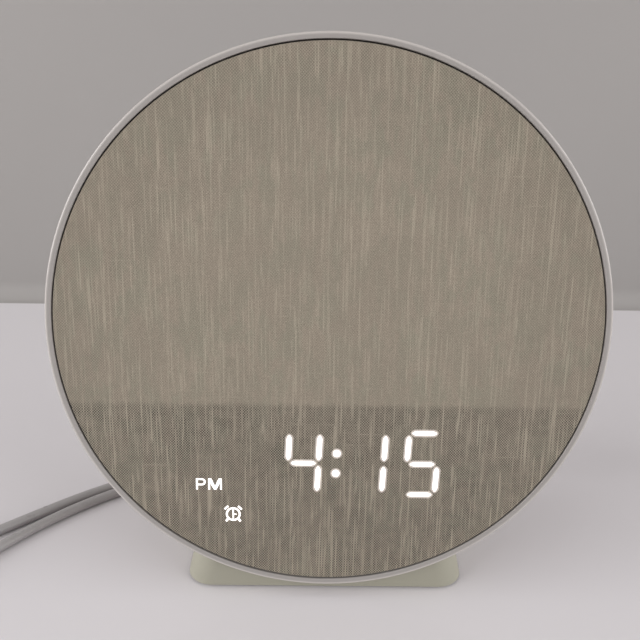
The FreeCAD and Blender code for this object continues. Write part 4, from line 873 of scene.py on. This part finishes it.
class CLOCK_OT_lead(bpy.types.Operator):
    """Run the power lead along its route and through its coil."""

    bl_idname = "clock.lead"
    bl_label = "Lead and adapter"

    def execute(self, context):
        settings = context.scene.clock_lead
        lead = place_object("lead", self.lead_line(settings))
        lead.data.materials.append(rubber_finish("lead sleeve", settings.sleeve, 0.33, 0.15))
        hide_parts("power_lead", "lead_coil", "adapter_lead")
        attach(lead, "lead_set")
        on_lead = ("dc_plug", "plug_relief", "coil_tie")
        on_lead += ("adapter_relief", "power_adapter", "adapter_prongs")
        hard = moulded_finish("adapter shell", settings.adapter, 0.5, 0.5, ADAPTER_GRAIN)
        soft = rubber_finish("relief rubber", shade(settings.adapter, 0.9), 0.55)
        dress(("dc_plug", "power_adapter"), hard)
        dress(("plug_relief", "adapter_relief"), soft)
        dress(("adapter_prongs",), metal_finish("bare brass", linear(222, 196, 140), 0.28))
        dress(("coil_tie",), rubber_finish("tie strap", linear(58, 57, 58), 0.7))
        return {"FINISHED"}

    def lead_line(self, settings):
        """The lead's whole line, from the plug through the coil to the adapter."""
        top = COIL_LOW + (COIL_LAYERS - 1) * COIL_LAYER_PITCH
        last_y = COIL_FRONT - COIL_TURN_PITCH / 2
        points = [Vector(p) for p in LEAD_POINTS] + self.coil_points(settings)
        points += [Vector((x, last_y, top)) for x in ADAPTER_RUN]
        data = bpy.data.curves.new("power_lead_line", "CURVE")
        data.dimensions = "3D"
        data.bevel_depth = settings.diameter / 2
        data.bevel_resolution = 5
        data.resolution_u = 6
        data.use_fill_caps = True
        spline = data.splines.new("NURBS")
        spline.points.add(len(points) - 1)
        for slot, point in zip(spline.points, points):
            slot.co = (*(point * MM), 1.0)
        spline.order_u = 3
        spline.use_endpoint_u = True
        return data

    def coil_points(self, settings):
        """Points of the coil's turns: half turns that spiral in and out and climb between layers."""
        outer = COIL_MEAN_RADIUS + COIL_TURN_PITCH * HALF_TURNS_IN_LAYER / 4
        centre = COIL_FRONT + outer
        steps = settings.points_per_turn // 2
        # The line passes inside its points, so they stand out by this factor
        swell = 1 / cos(pi / settings.points_per_turn)
        shifts = []
        for layer in range(COIL_LAYERS):
            inward = -1 if layer % 2 == 0 else 1
            shifts += [(inward, 0)] * HALF_TURNS_IN_LAYER
            shifts.append((0, 1))
        shifts[-1] = (1, 0)
        reach, height = outer, COIL_LOW
        points = []
        for half_turn, (shift, climb) in enumerate(shifts):
            next_reach = reach + shift * COIL_TURN_PITCH / 2
            size = (reach + next_reach) / 2
            side = 1 if half_turn % 2 == 0 else -1
            middle = centre - side * (reach - next_reach) / 2
            for step in range(steps):
                angle = pi * (step + 0.5) / steps
                x = COIL_LEFT + side * size * swell * sin(angle)
                y = middle - side * size * swell * cos(angle)
                lift = climb * COIL_LAYER_PITCH * (1 - cos(angle)) / 2
                points.append(Vector((x, y, height + lift)))
            reach = next_reach
            height += climb * COIL_LAYER_PITCH
        return points


class CLOCK_OT_cover(bpy.types.Operator):
    """Stretch the woven cover over the front, with the lit marks showing through it."""

    bl_idname = "clock.cover"
    bl_label = "Woven cover"

    def execute(self, context):
        settings = context.scene.clock_cloth
        cover = place_object("woven_cover", cover_mesh())
        glow = settings.mark_strength * settings.glow_share
        finishes = (
            cloth_finish(settings),
            mark_finish(settings, "lit cloth", (1.0, 0.985, 0.99), settings.mark_strength),
            mark_finish(settings, "glowing cloth", (1.0, 0.93, 0.97), glow),
        )
        for finish in finishes:
            cover.data.materials.append(finish)
        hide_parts("fabric_cover")
        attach(cover, "clock_body")
        return {"FINISHED"}


class CLOCK_OT_case(bpy.types.Operator):
    """Finish the ring, the housing, its buttons and the foot."""

    bl_idname = "clock.case"
    bl_label = "Case and foot"

    def execute(self, context):
        settings = context.scene.clock_case
        # The ring takes the shell's colour with painted shade on its face and a painted highlight on its
        # outer corner
        dress(("bezel_ring",), ring_finish("ring plastic, painted light", shade(settings.shell, RING_PAINTED_SHADE)))
        dress(("rear_housing",), moulded_finish("housing plastic", settings.shell, 0.46, 0.35))
        buttons = ("snooze_bar", "light_button", "sound_button")
        keys = ("volume_down_key", "volume_up_key", "alarm_key", "clock_key")
        dress(buttons, moulded_finish("button plastic", settings.buttons, 0.4, 0.2))
        dress(keys, moulded_finish("key plastic", settings.buttons, 0.4, 0.2))
        # The foot's colour carries painted shade from the disc above it
        dress(("foot_shell", "foot_base_plate"), moulded_finish("foot plastic, painted shade", settings.foot, 0.5, 0.35))
        dress(("foot_pad",), rubber_finish("sole rubber", linear(120, 119, 114), 0.8))
        dress(("dc_jack",), moulded_finish("socket plastic", linear(40, 40, 41), 0.45))
        screws = ("housing_screws", "base_plate_screws", "foot_mount_screws")
        dress(screws, metal_finish("zinc plate", linear(196, 196, 192)))
        return {"FINISHED"}


class CLOCK_OT_insides(bpy.types.Operator):
    """Finish the pieces inside the case."""

    bl_idname = "clock.insides"
    bl_label = "Inside pieces"

    def execute(self, context):
        dress(("display_mask",), moulded_finish("black plastic", linear(34, 33, 33), 0.55))
        dress(("front_carrier",), moulded_finish("carrier plastic", linear(96, 86, 72), 0.55))
        dress(("reflector_tray",), moulded_finish("tray plastic", linear(232, 232, 230), 0.5))
        dress(("light_diffuser",), milky_finish("diffuser", linear(230, 228, 222)))
        dress(("dark_segments",), milky_finish("unlit pipes", linear(150, 150, 148)))
        dress(("lit_segments", "indicator_windows"), milky_finish("lit pipes", linear(250, 250, 248), 1.0))
        dress(("light_leds",), milky_finish("lamp chips", linear(244, 222, 140)))
        boards = ("display_board", "light_board", "main_board", "top_switch_board", "rear_switch_board")
        dress(boards, board_finish("circuit board", linear(28, 92, 56)))
        parts = ("board_parts", "top_switches", "rear_switches")
        dress(parts, moulded_finish("part plastic", linear(44, 44, 46), 0.4))
        screws = ("tray_screws", "speaker_screws", "board_screws", "switch_board_screws")
        dress(screws + ("radio_module",), metal_finish("tinned steel", linear(200, 200, 196)))
        dress(("display_ribbon",), moulded_finish("ribbon", linear(226, 226, 222), 0.3))
        dress(("speaker_basket", "ballast_plate"), painted_finish("blackened steel", linear(60, 60, 62)))
        dress(("speaker_magnet",), painted_finish("ferrite", linear(48, 48, 50), 0.6))
        grille_black = grille_cloth_finish("black grille cloth", linear(30, 30, 31))
        dress(("speaker_cone", "grille_cloth"), grille_black)
        dress(("speaker_gasket",), rubber_finish("foam gasket", linear(44, 44, 44), 0.9))
        return {"FINISHED"}


class CLOCK_PT_pieces(bpy.types.Panel):
    """The steps and settings that dress the clock."""

    bl_idname = "CLOCK_PT_pieces"
    bl_label = "Alarm clock"
    bl_space_type = "VIEW_3D"
    bl_region_type = "UI"
    bl_category = "Clock"

    def draw(self, context):
        for step in STEPS:
            self.layout.operator(step.bl_idname)
        for name, group in SETTINGS.items():
            panel = self.layout.box()
            for field in group.__annotations__:
                panel.prop(getattr(context.scene, name), field)


SETTINGS = {
    "clock_cloth": ClothSettings,
    "clock_case": CaseSettings,
    "clock_lead": LeadSettings,
    "clock_stage": StageSettings,
}
STEPS = (CLOCK_OT_stage, CLOCK_OT_lead, CLOCK_OT_cover, CLOCK_OT_case, CLOCK_OT_insides)


def register():
    """Make the settings, steps and panel known."""
    for group in (*SETTINGS.values(), *STEPS, CLOCK_PT_pieces):
        bpy.utils.register_class(group)
    for name, group in SETTINGS.items():
        setattr(bpy.types.Scene, name, PointerProperty(type=group))


def unregister():
    """Take the settings, steps and panel away again."""
    for name in SETTINGS:
        delattr(bpy.types.Scene, name)
    for group in reversed((*SETTINGS.values(), *STEPS, CLOCK_PT_pieces)):
        bpy.utils.unregister_class(group)


def main():
    """Dress the clock."""
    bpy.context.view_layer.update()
    register()
    bpy.ops.clock.stage()
    bpy.ops.clock.lead()
    bpy.ops.clock.cover()
    bpy.ops.clock.case()
    bpy.ops.clock.insides()


if __name__ == "__main__":
    main()
